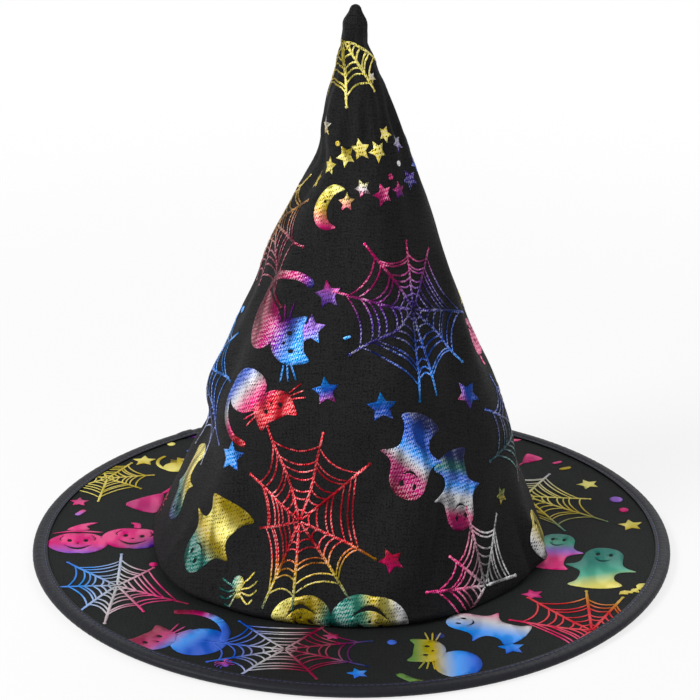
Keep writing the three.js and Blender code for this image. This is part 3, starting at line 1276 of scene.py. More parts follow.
@dataclass
class Crown(Part):
    """The printed cloth cone with its back seam, and the bonded cone that lines it."""

    columns: int = 372
    rows: int = 118
    liner_columns: int = 216
    liner_rows: int = 84
    seam_allowance: float = 9.0 * MM
    seam_gap: float = 0.03 * MM
    slit: float = 0.8 * MM
    liner_tip: float = 5.0 * MM
    liner_foot: float = 8.4 * MM
    stitch_pitch: float = 3.0 * MM
    stitch_depth: float = 1.4 * MM
    stitch_margin: float = 1.5 * MM
    stitch_proud: float = 0.14 * MM
    loop_pitch: float = 2.4 * MM
    loop_reach: float = 3.0 * MM
    loop_swing: float = 0.95 * MM
    loop_overhang: float = 0.4 * MM
    loop_thread: float = 0.28 * MM
    loop_steps: int = 12
    crowding: float = 2.2
    tip_run: float = 14 * MM
    hem_run: float = 8 * MM
    seam_crowding: float = 2.4
    seam_run: float = 0.05
    liner_crowding: float = 1.6
    liner_run: float = 12 * MM

    def _angle(self, share: Array) -> Array:
        """The angle of each column, closer together at the back seam."""
        return graded(
            share, -math.pi, math.pi,
            lambda a: 1 + self.seam_crowding * np.exp((np.abs(a) - math.pi) / self.seam_run),
        )

    def _reach(self, share: Array) -> Array:
        """The reach of each row, closer together at the tip and round the hem.

        Args:
            share: 1 at the tip and 0 at the end.

        Returns:
            Metres down the side.
        """
        shape = self.shape

        def weight(reach: Array) -> Array:
            """How closely the rows lie."""
            tip = np.exp(-reach / self.tip_run)
            hem = smooth_step((reach - shape.hem_reach + self.hem_run) / self.hem_run)
            return 1 + self.crowding * tip + self.crowding * hem

        return graded(1 - share, 0.0, shape.end_reach, weight)

    def _open(self, height: Array) -> Array:
        """1 where the back seam leaves an allowance inside, and 0 above and below it."""
        inside = (height > self.hat.fin_foot) & (height < self.hat.fin_top)
        return inside.astype(float)

    def cloth(self) -> None:
        """Makes the printed cloth, with the seam's two raw edges turned in."""
        shape = self.shape

        def place(u: Array, v: Array) -> Array:
            """Places on the cloth, parted at the seam."""
            points = shape.at(self._angle(u), self._reach(v))
            side = (u > 1 - 1e-6).astype(float) - (u < 1e-6).astype(float)
            points[:, 0] += side * self.seam_gap * self._open(points[:, 2])
            return points

        def flat(u: Array, v: Array) -> Array:
            """Places on its pattern."""
            return shape.pattern(self._angle(u), self._reach(v))

        mesh = mapped_grid(self.columns, self.rows, place, flat)
        self._turn_in(mesh)
        piece = self.pieces.add(
            "crown_cloth", mesh, "printed_cloth", self.finishes.crown_cloth,
            ["crown_shell"], self.hat.print_cloth,
        )

    def _turn_in(self, mesh: Mesh) -> None:
        """Draws the seam's open edges in, towards the axis, as its two allowances."""
        low, high = self.hat.fin_foot, self.hat.fin_top
        for side in (-1, 1):
            seam = [
                edge for edge in mesh.edges
                if edge.is_boundary
                and all(low < vert.co.z < high and vert.co.y > 0 for vert in edge.verts)
                and self._side(edge) == side
            ]
            drawn = bmesh.ops.extrude_edge_only(mesh, edges=seam)["geom"]
            verts = [item for item in drawn if isinstance(item, bmesh.types.BMVert)]
            bmesh.ops.translate(mesh, verts=verts, vec=(0, -self.seam_allowance, 0))

    @staticmethod
    def _side(edge: bmesh.types.BMEdge) -> int:
        """Which side of the seam a boundary edge's own face lies on."""
        centre = edge.link_faces[0].calc_center_median()
        return 1 if centre.x > sum(vert.co.x for vert in edge.verts) / 2 else -1

    def liner(self) -> None:
        """Makes the bonded cone, slit up the back for the seam."""
        shape, hat = self.shape, self.hat
        foot = shape.reach_at(self.liner_foot)
        inset = hat.print_cloth + hat.slip

        def weight(reach: Array) -> Array:
            """How closely the rows lie."""
            return 1 + self.liner_crowding * np.exp(-reach / self.liner_run)

        def spot(u: Array, v: Array) -> tuple[Array, Array]:
            """The angle and the reach of each place."""
            reach = graded(1 - v, self.liner_tip, foot, weight)
            height = np.interp(reach, shape.reaches, shape.heights)
            radius = np.maximum(np.interp(reach, shape.reaches, shape.radii), 1 * MM)
            slit = np.where(height < hat.fin_top, self.slit / radius, 0.0)
            return (math.pi - slit) * (2 * u - 1), reach

        def place(u: Array, v: Array) -> Array:
            """Places on the lining."""
            return shape.at(*spot(u, v), -inset)

        def flat(u: Array, v: Array) -> Array:
            """Places on its pattern."""
            return shape.pattern(*spot(u, v))

        mesh = mapped_grid(self.liner_columns, self.liner_rows, place, flat)
        piece = self.pieces.add(
            "crown_liner", mesh, "crown_stiffener", self.finishes.liner,
            ["crown_stiffener"], hat.liner,
        )

    def _seam_line(self, height: Array, depth: float) -> Array:
        """Places inside the back seam, at a depth from its fold.

        Args:
            height: metres up, for each place.
            depth: metres in from the fold.

        Returns:
            Rows of x, y and z.
        """
        order = np.argsort(self.shape.heights)
        reach = np.interp(height, self.shape.heights[order], self.shape.reaches[order])
        points = self.shape.at(np.full_like(height, math.pi), reach)
        points[:, 1] -= depth
        return points

    def seam(self) -> None:
        """Makes the back seam's stitches and the loops over its raw edges."""
        hat = self.hat
        low, high = hat.fin_foot + self.stitch_margin, hat.fin_top - self.stitch_margin
        heights = np.linspace(low, high, round((high - low) / self.stitch_pitch))
        seats = []
        for side in (-1, 1):
            line = self._seam_line(heights, self.stitch_depth)
            line[:, 0] += side * (hat.print_cloth + self.seam_gap + self.stitch_proud)
            ways = np.gradient(line, axis=0)
            out = Vector((side, 0, 0))
            seats += [(Vector(p), Vector(w), out) for p, w in zip(line, ways)]
        self.pieces.add(
            "back_seam_stitches", Stitching().row(seats), "thread", self.finishes.thread,
            ["back_seam_thread"],
        )
        turns = round((high - low) / self.loop_pitch)
        depth = self.seam_allowance - self.loop_reach / 2 + self.loop_overhang

        def loops(share: Array) -> Array:
            """A coil round the raw edges."""
            around = 2 * math.pi * turns * share
            line = self._seam_line(low + (high - low) * share, depth)
            line[:, 0] += self.loop_swing * np.cos(around)
            line[:, 1] -= (self.loop_reach / 2) * np.sin(around)
            return line

        mesh = tube(loops, self.loop_thread, turns * self.loop_steps, 5, closed=False)
        self.pieces.add(
            "back_seam_overlock_loops", mesh, "overlock", self.finishes.overlock,
            ["back_seam_overlock"],
        )


# --- the brim ---


@dataclass
class Brim(Part):
    """The brim's printed cloth, its felt and its plain underside."""

    columns: int = 520
    rows: int = 40
    plain_columns: int = 360
    plain_rows: int = 20
    corner: float = 0.8 * MM
    inner: float = 96.8 * MM
    backing_inner: float = 96.1 * MM
    crowding: float = 5.0
    corner_reach: float = 9 * MM
    corner_run: float = 2 * MM
    cut: float = 0.332

    def _ring(
        self, columns: int, rows: int, outline: Array, upwards: bool, rumpled: bool
    ) -> Mesh:
        """Makes a ring.

        Args:
            columns: faces round it.
            rows: faces across it.
            outline: its section as rows of radius and height.
            upwards: whether its face is its upper one.
            rumpled: whether it has the printed cloth's own small waves.

        Returns:
            The ring's mesh.
        """
        runs = np.linalg.norm(np.diff(outline, axis=0), axis=1)
        reaches = np.concatenate([[0.0], np.cumsum(runs)])

        def weight(reach: Array) -> Array:
            """How closely the rows lie, closest at the turned-up edge's corner."""
            return 1 + self.crowding * np.exp(-np.abs(reach - self.corner_reach) / self.corner_run)

        def spot(u: Array, v: Array) -> tuple[Array, Array, Array]:
            """The turn, radius and height of each place."""
            along = graded(1 - v, 0.0, reaches[-1], weight)
            radius, height = (np.interp(along, reaches, outline[:, part]) for part in (0, 1))
            return 2 * math.pi * (u if upwards else 1 - u), radius, height

        def place(u: Array, v: Array) -> Array:
            """Places on the ring."""
            turn, radius, height = spot(u, v)
            x, y = radius * np.cos(turn), radius * np.sin(turn)
            if rumpled:
                height = height + self.shape.rumple(x, y)
            return self.shape.raised(stacked(x, y, height))

        def flat(u: Array, v: Array) -> Array:
            """Places on its pattern."""
            turn, radius, _ = spot(u, v)
            return stacked(radius * np.cos(turn), radius * np.sin(turn))

        return mapped_grid(columns, rows, place, flat)

    def _turned_up(self, inner: float, level: float) -> Array:
        """A section from the turned-up inner edge, round its corner, and out to the rim.

        Args:
            inner: the turned-up edge's radius.
            level: the height of the flat part.

        Returns:
            Rows of radius and height.
        """
        hat, bend = self.hat, self.corner
        top = hat.turn_top
        arc = [
            (inner + bend - bend * math.cos(a), level + bend - bend * math.sin(a))
            for a in np.linspace(0, math.pi / 2, 5)
        ]
        return np.array([(inner, top), *arc, (hat.cloth_outer, level)])

    def cloth(self) -> None:
        """Makes the printed cloth, face up."""
        hat = self.hat
        outline = self._turned_up(self.inner + hat.print_cloth, hat.print_top)
        mesh = self._ring(self.columns, self.rows, outline, upwards=True, rumpled=True)
        piece = self.pieces.add(
            "brim_cloth", mesh, "printed_cloth", self.finishes.brim_cloth,
            ["brim_top"], hat.print_cloth,
        )

    def backing(self) -> None:
        """Makes the plain cloth, face down."""
        hat = self.hat
        outline = self._turned_up(self.backing_inner, hat.backing_foot)
        mesh = self._ring(
            self.plain_columns, self.plain_rows, outline, upwards=False, rumpled=False
        )
        piece = self.pieces.add(
            "brim_backing", mesh, "backing_cloth", self.finishes.backing,
            ["brim_underside"], hat.backing_cloth,
        )

    def felt(self) -> None:
        """Makes the felt between the two cloths."""
        hat = self.hat
        inner = self.inner + hat.print_cloth + hat.slip
        outline = np.array([(inner, hat.felt_top), (hat.cloth_outer, hat.felt_top)])
        mesh = self._ring(
            self.plain_columns, self.plain_rows, outline, upwards=True, rumpled=False
        )
        piece = self.pieces.add(
            "brim_felt", mesh, "brim_stiffener", self.finishes.felt,
            ["brim_stiffener"], hat.felt_top - hat.felt_foot,
        )


@dataclass
class Binding(Part):
    """The tape folded over the brim's edge, its two rows of stitches and its hoop."""

    width: float = 20.8 * MM
    stitch_pitch: float = 3.0 * MM
    columns_a_stitch: int = 4
    rows: int = 30
    needle_height: float = 4.5 * MM
    bobbin_height: float = 0.2 * MM
    lap_angle: float = math.radians(123.75)
    lap_length: float = 12.0 * MM
    lap_rise: float = 0.6 * MM
    lap_edge: float = 0.5 * MM
    lap_run_out: float = 7.0 * MM
    wire_gap: float = 1.0 * MM
    sleeve_length: float = 10.0 * MM
    sleeve_outer: float = 1.2 * MM
    pucker: float = 0.014 * MM
    pucker_seed: int = 12
    pucker_waves: int = 9
    pucker_turns: tuple[int, int] = (60, 340)
    pucker_climb: float = 300.0
    plump_from: float = 163.2 * MM
    plump_run: float = 2.0 * MM
    plump_rise: float = 1.5 * MM
    dimple: float = 0.14 * MM
    dimple_width: float = 0.6 * MM
    dimple_from: float = 2.0 * MM
    probe: float = 0.1 * MM
    SECTION: tuple[Point, ...] = (
        (162.0, 0.35), (162.15, 0.05), (162.6, 0.08), (163.2, 0.22), (163.6, 0.26),
        (164.0, 0.20), (164.8, 0.05), (166.0, 0.0), (167.4, 0.06), (168.7, 0.42),
        (169.6, 1.15), (169.95, 2.1), (169.9, 3.1), (169.45, 4.0), (168.6, 4.62),
        (167.3, 4.98), (165.8, 5.0), (164.6, 4.78), (164.0, 4.52), (163.6, 4.4),
        (163.2, 4.46), (162.7, 4.68), (162.25, 4.72), (162.0, 4.45), (162.05, 3.95),
    )

    @property
    def stitches(self) -> int:
        """How many stitches go round."""
        return round(2 * math.pi * self.hat.stitch_radius / self.stitch_pitch)

    def _lap(self, turn: Array) -> Array:
        """How far the tape is lifted by the end that it laps over.

        Args:
            turn: radians from +X.

        Returns:
            Metres out of its face.
        """
        past = (turn - self.lap_angle + math.pi) % (2 * math.pi) - math.pi
        past = past * self.hat.brim_radius
        step = smooth_step((past + self.lap_edge) / self.lap_edge)
        fall = smooth_step((self.lap_length - past) / self.lap_run_out)
        return self.lap_rise * step * fall

    def _section(self, share: Array, turn: Array) -> tuple[Array, Array]:
        """The tape's outer face, puckered by its stitches.

        Args:
            share: how far round the fold, from 0 to 1.
            turn: radians from +X.

        Returns:
            The radius and the height, in metres.
        """
        spots = np.array(self.SECTION) * MM
        runs = np.concatenate([[0.0], np.cumsum(np.linalg.norm(np.diff(spots, axis=0), axis=1))])
        along = share * runs[-1]
        ahead = np.minimum(along + self.probe, runs[-1])
        behind = np.maximum(along - self.probe, 0)
        (radius, slope_r), (height, slope_z) = (
            (np.interp(along, runs, way), np.interp(ahead, runs, way) - np.interp(behind, runs, way))
            for way in spots.T
        )
        size = np.hypot(slope_r, slope_z)
        rng = np.random.RandomState(self.pucker_seed)
        wave = np.zeros_like(turn)
        for turns in rng.randint(*self.pucker_turns, self.pucker_waves):
            phase = rng.uniform(0, 2 * math.pi)
            wave += np.sin(turns * turn + phase + self.pucker_climb * height)
        plump = smooth_step((radius - self.plump_from) / self.plump_run)
        plump = plump * smooth_step(height / self.plump_rise)
        out = self.pucker * wave * plump + self._lap(turn)
        near = np.exp(-(((radius - self.hat.stitch_radius) / self.dimple_width) ** 2))
        hole = 0.5 + 0.5 * np.cos(self.stitches * turn)
        out = out - self.dimple * near * hole * (height > self.dimple_from)
        radius = radius + out * slope_z / size
        height = np.maximum(height - out * slope_r / size, 0.0)
        return radius, height

    def tape(self) -> None:
        """Makes the folded tape, with its turned-in end lapped over its start."""
        columns = self.stitches * self.columns_a_stitch
        width, length = self.width, 2 * math.pi * self.hat.brim_radius

        def place(u: Array, v: Array) -> Array:
            """Places on the tape."""
            turn = 2 * math.pi * u
            radius, height = self._section(v, turn)
            points = stacked(radius * np.cos(turn), radius * np.sin(turn), height)
            return self.shape.raised(points)

        def flat(u: Array, v: Array) -> Array:
            """Places on it laid out straight."""
            return stacked(length * u, width * v)

        mesh = mapped_grid(columns, self.rows, place, flat)
        piece = self.pieces.add(
            "binding_tape", mesh, "binding_tape", self.finishes.tape,
            ["edge_binding"], self.hat.tape,
        )

    def _stitch_row(self, height: float, out: float) -> Mesh:
        """A row of stitches round the tape.

        Args:
            height: how high it lies.
            out: 1 on the upper face, -1 on the lower one.

        Returns:
            The stitches' mesh.
        """
        seats = []
        for number in range(self.stitches):
            turn = 2 * math.pi * (number + 0.5) / self.stitches
            radius = self.hat.stitch_radius
            x, y = radius * math.cos(turn), radius * math.sin(turn)
            lap = float(self._lap(np.array([turn]))[0]) if out > 0 else 0.0
            lift = float(self.shape.lift(np.array([x]), np.array([y]))[0])
            place = Vector((x, y, height + lift + lap))
            seats.append((place, Vector((-y, x, 0)), Vector((0, 0, out))))
        return Stitching().row(seats)

    def stitching(self) -> None:
        """Makes the needle's stitches above and the bobbin's below."""
        for name, height, out, node in (
            ("binding_needle_stitches", self.needle_height, 1.0, "binding_needle_thread"),
            ("binding_bobbin_stitches", self.bobbin_height, -1.0, "binding_bobbin_thread"),
        ):
            row = self._stitch_row(height, out)
            self.pieces.add(name, row, "binding_thread", self.finishes.blue_thread, [node])

    def hoop(self) -> None:
        """Makes the springy wire inside the tape and the sleeve that joins its ends."""
        hat = self.hat
        gap = self.wire_gap / hat.hoop_radius
        sleeve = self.sleeve_length / hat.hoop_radius

        def arc(start: float, sweep: float) -> Callable[[Array], Array]:
            """A path along the hoop."""

            def path(share: Array) -> Array:
                """Places along it."""
                turn = start + sweep * share
                x, y = hat.hoop_radius * np.cos(turn), hat.hoop_radius * np.sin(turn)
                return self.shape.raised(stacked(x, y, np.full_like(x, hat.hoop_height)))

            return path

        start = self.lap_angle + gap / 2
        wire = tube(arc(start, 2 * math.pi - gap), hat.wire / 2, 360, 10, closed=False)
        self.pieces.add("hoop_wire", wire, "hoop_wire", self.finishes.steel, ["rim_hoop"])
        outer = tube(arc(self.lap_angle - sleeve / 2, sleeve), self.sleeve_outer, 12, 16, False)
        self.pieces.add("hoop_ferrule", outer, "hoop_sleeve", self.finishes.brass, ["hoop_sleeve"])


# --- head opening ---


@dataclass
class HeadOpening(Part):
    """The ribbed tape inside the opening, its stitches, and the seam that it covers."""

    rib: float = 0.75 * MM
    rib_rise: float = 0.09 * MM
    rows: int = 10
    tape: float = 0.8 * MM
    edge: float = 1.4 * MM
    lap_rise: float = 0.7 * MM
    lap_edge: float = 0.8 * MM
    lap_length: float = 14.0 * MM
    puff: float = 0.25 * MM
    puffs: int = 9
    hold: float = 0.15 * MM
    hold_height: float = 5.85 * MM
    hold_width: float = 1.2 * MM
    stitch_pitch: float = 3.0 * MM
    stitch_height: float = 6.8 * MM
    stitch_sink: float = 0.05 * MM
    stitch_proud: float = 0.1 * MM
    loop_pitch: float = 2.6 * MM
    loop_inner: float = 95.95 * MM
    loop_proud: float = 0.3 * MM
    loop_drop: float = 3.2 * MM
    loop_overhang: float = 0.55 * MM
    loop_thread: float = 0.22 * MM
    loop_steps: int = 12
    clearance: float = 0.3 * MM
    clear_from: float = 12.0 * MM

    def _room(self, turn: Array, height: Array) -> Array:
        """How far out the tape may stand before it meets the crown's lining.

        Args:
            turn: radians from +X.
            height: metres up.

        Returns:
            The greatest radius of the tape's inner face.
        """
        hat, crown = self.hat, self.shape
        depth = hat.print_cloth + hat.slip + hat.liner + self.clearance + self.tape
        side = crown.reaches <= crown.hem_reach
        reach = np.interp(-height, -crown.heights[side], crown.reaches[side])
        points = crown.at(turn + math.pi / 2, reach, -depth)
        return np.hypot(points[:, 0], points[:, 1])

    def band(self) -> None:
        """Makes the ribbed tape, its end lapped over its start at the back."""
        hat = self.hat
        inner = hat.band_outer - self.tape
        width, length = hat.band_top - hat.band_foot, 2 * math.pi * inner
        ribs = round(length / self.rib)

        def place(u: Array, v: Array) -> Array:
            """Places on the tape."""
            turn = math.pi / 2 - 2 * math.pi * u
            lap = self.lap_rise * smooth_step((self.lap_length - length * u) / self.lap_edge)
            lap = lap * smooth_step((u + 1e-9) * 1e6)
            edge = smooth_step(np.minimum(v, 1 - v) * width / self.edge)
            rib = self.rib_rise * np.cos(2 * math.pi * ribs * u) * edge
            puff = self.puff * np.sin(math.pi * v) * np.sin(self.puffs * turn) ** 2
            hold = np.exp(-(((v * width - self.hold_height) / self.hold_width) ** 2))
            radius = inner - lap - rib - puff * (1 - hold) + self.hold * hold
            height = hat.band_foot + width * v
            room = self._room(turn, np.maximum(height, self.clear_from))
            radius = np.minimum(radius, room - rib)
            return stacked(radius * np.cos(turn), radius * np.sin(turn), height)

        def flat(u: Array, v: Array) -> Array:
            """Places on it laid out straight."""
            return stacked(length * u, width * v)

        mesh = mapped_grid(ribs * 2, self.rows, place, flat)
        piece = self.pieces.add(
            "head_band_tape", mesh, "head_band_tape", self.finishes.grosgrain,
            ["head_band"], self.tape,
        )

    def _ring_of_stitches(self, radius: float, out: float) -> Mesh:
        """Stitches round an upright ring.

        Args:
            radius: the ring's.
            out: 1 on its outer face, -1 on its inner one.

        Returns:
            The stitches' mesh.
        """
        count = round(2 * math.pi * radius / self.stitch_pitch)
        seats = []
        for number in range(count):
            turn = 2 * math.pi * number / count
            way = Vector((math.cos(turn), math.sin(turn), 0))
            place = way * radius + Vector((0, 0, self.stitch_height))
            seats.append((place, Vector((-way.y, way.x, 0)), way * out))
        return Stitching().row(seats)

    def stitching(self) -> None:
        """Makes the stitches on the tape and those that join the crown to the brim."""
        hat = self.hat
        self.pieces.add(
            "head_band_stitches",
            self._ring_of_stitches(hat.band_outer - self.tape - self.stitch_sink, -1.0),
            "thread", self.finishes.thread, ["head_band_thread"],
        )
        self.pieces.add(
            "crown_seam_stitches",
            self._ring_of_stitches(hat.turn_radius + hat.slip + self.stitch_proud, 1.0),
            "thread", self.finishes.thread, ["crown_seam_thread"],
        )

    def overlock(self) -> None:
        """Makes the loops over the raw edges of the crown's seam."""
        hat = self.hat
        low, high = hat.turn_top - self.loop_drop, hat.turn_top + self.loop_overhang
        inner, outer = self.loop_inner, hat.turn_radius + self.loop_proud
        turns = round(2 * math.pi * outer / self.loop_pitch)

        def loops(share: Array) -> Array:
            """A coil round the raw edges."""
            turn, around = 2 * math.pi * share, 2 * math.pi * turns * share
            radius = (inner + outer) / 2 + (outer - inner) / 2 * np.cos(around)
            height = (low + high) / 2 + (high - low) / 2 * np.sin(around)
            return stacked(radius * np.cos(turn), radius * np.sin(turn), height)

        mesh = tube(loops, self.loop_thread, turns * self.loop_steps, 5)
        self.pieces.add(
            "seam_overlock_loops", mesh, "overlock", self.finishes.overlock,
            ["seam_edge_overlock"],
        )


# --- the printing ---


class Ink(Enum):
    """The foil's colours, each with the letter that stands for it in a row of inks."""

    GOLD = ("G", (0.56, 0.41, 0.025))
    YELLOW = ("Y", (0.86, 0.77, 0.19))
    SILVER = ("S", (0.58, 0.58, 0.60))
    PINK = ("P", (0.78, 0.045, 0.23))
    MAGENTA = ("M", (0.46, 0.010, 0.15))
    CRIMSON = ("C", (0.27, 0.008, 0.05))
    RED = ("R", (0.68, 0.018, 0.035))
    VIOLET = ("V", (0.08, 0.02, 0.30))
    LILAC = ("L", (0.34, 0.15, 0.66))
    SKY = ("K", (0.05, 0.33, 0.92))
    BLUE = ("B", (0.010, 0.10, 0.62))
    NAVY = ("N", (0.004, 0.014, 0.14))
    TEAL = ("T", (0.006, 0.17, 0.135))
    SEA = ("A", (0.06, 0.37, 0.25))
    GREEN = ("E", (0.07, 0.19, 0.015))


INKS: dict[str, tuple[float, float, float]] = dict(ink.value for ink in Ink)


@dataclass(frozen=True)
class Dye:
    """Inks that run into each other along one direction, in degrees."""

    inks: str
    way: float

    def at(self, spots: Array, reach: float) -> Array:
        """The colour at each spot.

        Args:
            spots: rows of x and y.
            reach: how far the shape reaches from its middle.

        Returns:
            Rows of red, green and blue.
        """
        turn = math.radians(self.way)
        share = (spots[:, 0] * math.cos(turn) + spots[:, 1] * math.sin(turn)) / reach
        stops = np.linspace(-0.85, 0.85, len(self.inks)) if len(self.inks) > 1 else [0.0]
        parts = np.array([INKS[letter] for letter in self.inks])
        return stacked(*(np.interp(share, stops, parts[:, part]) for part in range(3)))


def curve(points: Sequence[Point], steps: int = 5, closed: bool = True) -> Array:
    """A smooth line through points.

    Args:
        points: what it passes through.
        steps: how many from each to the next.
        closed: whether it comes back to its start.

    Returns:
        Rows of x and y.
    """
    spots = np.array(points, float)
    if closed:
        spots = np.concatenate([spots[-1:], spots, spots[:2]])
    else:
        spots = np.concatenate([spots[:1], spots, spots[-1:]])
    shares = np.linspace(0, 1, steps, endpoint=False)[:, None]
    line = []
    for a, b, c, d in zip(spots, spots[1:], spots[2:], spots[3:]):
        line.append(
            0.5 * (2 * b + (c - a) * shares + (2 * a - 5 * b + 4 * c - d) * shares**2
                   + (3 * b - a - 3 * c + d) * shares**3)
        )
    if not closed:
        line.append(spots[-1:])
    return np.concatenate(line)


def oval(x: float, y: float, wide: float, high: float, steps: int = 14) -> Array:
    """An oval about a middle."""
    turn = np.linspace(0, 2 * math.pi, steps, endpoint=False)
    return stacked(x + wide * np.cos(turn), y + high * np.sin(turn))


def crescent(left: Point, right: Point, sag: float, depth: float) -> Array:
    """A smile between two corners.

    Args:
        left: one corner.
        right: the other.
        sag: how far its upper edge hangs down.
        depth: how much further its lower edge does.

    Returns:
        Its outline as rows of x and y.
    """
    share = np.linspace(0, 1, 9)
    x = left[0] + (right[0] - left[0]) * share
    y = left[1] + (right[1] - left[1]) * share
    bow = np.sin(math.pi * share)
    upper, lower = stacked(x, y - sag * bow), stacked(x, y - (sag + depth) * bow)
    return np.concatenate([upper, lower[-2:0:-1]])


def mirrored(half: Sequence[Point]) -> list[Point]:
    """An outline made of a right half and its mirror image, both from the top down."""
    return [*half, *((-x, y) for x, y in reversed(half) if x > 0)]


@dataclass(frozen=True, eq=False)
class Drawing:
    """A shape of half height 1: filled outlines with their holes, and strokes with widths."""

    patches: Sequence[tuple[Array, Sequence[Array]]] = ()
    strokes: Sequence[tuple[Array, float]] = ()


def star() -> Drawing:
    """A plump star with five points.

    Returns:
        Its drawing.
    """
    turn = np.linspace(0, 2 * math.pi, 10, endpoint=False) + math.pi / 2
    radius = np.where(np.arange(10) % 2, 0.5, 1.0)
    return Drawing([(stacked(radius * np.cos(turn), radius * np.sin(turn)), [])])


def moon() -> Drawing:
    """A crescent moon with an eye.

    Returns:
        Its drawing.
    """
    outer = np.linspace(math.radians(58), math.radians(302), 22)
    inner = np.linspace(math.radians(262), math.radians(98), 16)
    line = np.concatenate([
        stacked(np.cos(outer) * 0.9, np.sin(outer)),
        stacked(0.62 + np.cos(inner) * 0.82, np.sin(inner) * 0.82)[1:-1],
    ])
    return Drawing([(line, [oval(-0.42, 0.22, 0.09, 0.07, 8)])])


def ghost(side: int = 1) -> Drawing:
    """A sheet ghost with two short arms and a skirt that flares to two corners.

    Args:
        side: 1, or -1 for its mirror image.

    Returns:
        Its drawing.
    """
    outline = curve([
        (0.0, 1.0), (0.26, 0.94), (0.43, 0.72), (0.46, 0.44), (0.50, 0.20), (0.64, 0.04),
        (0.84, -0.06), (0.62, -0.12), (0.45, -0.22), (0.39, -0.40), (0.44, -0.60), (0.64, -0.82),
        (0.42, -0.98), (0.10, -1.06), (-0.24, -1.06), (-0.58, -0.98), (-0.44, -0.76),
        (-0.40, -0.5), (-0.42, -0.26), (-0.58, -0.10), (-0.80, 0.02), (-0.60, 0.12),
        (-0.49, 0.26), (-0.46, 0.46), (-0.42, 0.72), (-0.26, 0.94),
    ], 3)
    face = [
        oval(-0.15, 0.66, 0.05, 0.08, 8), oval(0.15, 0.66, 0.05, 0.08, 8),
        crescent((-0.21, 0.46), (0.21, 0.46), 0.10, 0.06),
    ]
    flip = np.array((side, 1.0))
    return Drawing([(outline * flip, [hole * flip for hole in face])])


def pumpkin() -> Drawing:
    """A ribbed pumpkin with a smile.

    Returns:
        Its drawing.
    """
    turn = np.linspace(0, 2 * math.pi, 40, endpoint=False)
    x, y = np.cos(turn) * 1.12, np.sin(turn) * 0.84
    body = stacked(x, y * (0.93 + 0.08 * np.abs(np.sin(2.9 * x))))
    stem = curve([(-0.12, 0.88), (-0.14, 1.08), (-0.3, 1.26), (0.02, 1.24), (0.12, 0.88)], 3)
    ribs = [
        np.concatenate([
            stacked(side * np.array([0.50, 0.62, 0.64, 0.58]), [0.62, 0.42, 0.3, 0.2]),
            stacked(side * np.array([0.62, 0.68, 0.66, 0.53]), [0.2, 0.3, 0.42, 0.62]),
        ]) for side in (-1, 1)
    ]
    face = [
        oval(-0.3, 0.2, 0.09, 0.12, 10), oval(0.3, 0.2, 0.09, 0.12, 10), oval(0, -0.02, 0.05, 0.05, 8),
        crescent((-0.56, -0.08), (0.56, -0.08), 0.28, 0.16),
    ]
    return Drawing([(body, [*face, *ribs]), (stem, [])])


def hatted() -> Drawing:
    """A pumpkin in a pointed hat.

    Returns:
        Its drawing.
    """
    base = pumpkin()
    rim = curve([(-0.95, 0.86), (-0.2, 0.92), (0.95, 0.86), (0.3, 1.02), (-0.3, 1.02)], 3)
    cone = curve([(-0.42, 1.1), (0.4, 1.1), (0.32, 1.4), (0.72, 1.72), (0.12, 1.58)], 3)
    return Drawing([base.patches[0], (rim, []), (cone, [])])


def cat(side: int = 1) -> Drawing:
    """A cat that sits with its tail curled up on one side of it.

    Args:
        side: 1, or -1 for its mirror image.

    Returns:
        Its drawing.
    """
    flip = np.array((side, 1.0))
    body = oval(-0.22, -0.36, 0.74, 0.66, 22)
    head = curve([
        (-0.14, 0.36), (-0.17, 0.70), (-0.14, 1.04), (0.14, 0.92), (0.46, 0.92), (0.78, 0.92),
        (1.04, 1.06), (1.08, 0.72), (1.02, 0.36), (0.76, 0.10), (0.46, 0.02), (0.14, 0.10),
    ], 3)
    holes = [
        oval(0.22, 0.56, 0.06, 0.08, 8), oval(0.70, 0.56, 0.06, 0.08, 8), oval(0.46, 0.38, 0.05, 0.04, 6)
    ]
    tail = curve([(-0.66, -0.72), (-1.06, -0.44), (-1.34, 0.12), (-1.28, 0.74), (-0.92, 1.22)], 5, False)
    whiskers = [
        curve([(way * 0.58 + 0.46, 0.42 + rise), (way * 1.02 + 0.46, 0.42 + 2.2 * rise)], 4, False)
        for way in (-1, 1) for rise in (-0.08, 0.02, 0.12)
    ]
    return Drawing(
        [(body * flip, []), (head * flip, [hole * flip for hole in holes])],
        [(tail * flip, 0.22), *((whisker * flip, 0.05) for whisker in whiskers)],
    )


def bat() -> Drawing:
    """A bat with scalloped wings."""
    half = [
        (0.0, 0.30), (0.10, 0.46), (0.17, 0.30), (0.42, 0.26), (0.7, 0.62), (1.15, 0.72),
        (1.6, 0.40), (1.28, 0.22), (1.04, -0.1), (0.8, 0.06), (0.52, -0.2), (0.3, -0.04),
        (0.0, -0.52),
    ]
    return Drawing([(np.array(mirrored(half)), [])])


def spider() -> Drawing:
    """A spider with eight bent legs.

    Returns:
        Its drawing.
    """
    legs = []
    for side in (-1, 1):
        for rise, reach in ((0.62, 0.75), (0.22, 0.98), (-0.18, 0.98), (-0.6, 0.8)):
            knee = (side * reach * 0.62, rise * 0.9 + 0.22)
            leg = [(side * 0.12, rise * 0.3 + 0.1), knee, (side * reach, rise)]
            legs.append((curve(leg, 4, False), 0.09))
    parts = [(oval(0, -0.22, 0.3, 0.38), []), (oval(0, 0.3, 0.18, 0.17, 10), [])]
    return Drawing(parts, legs)


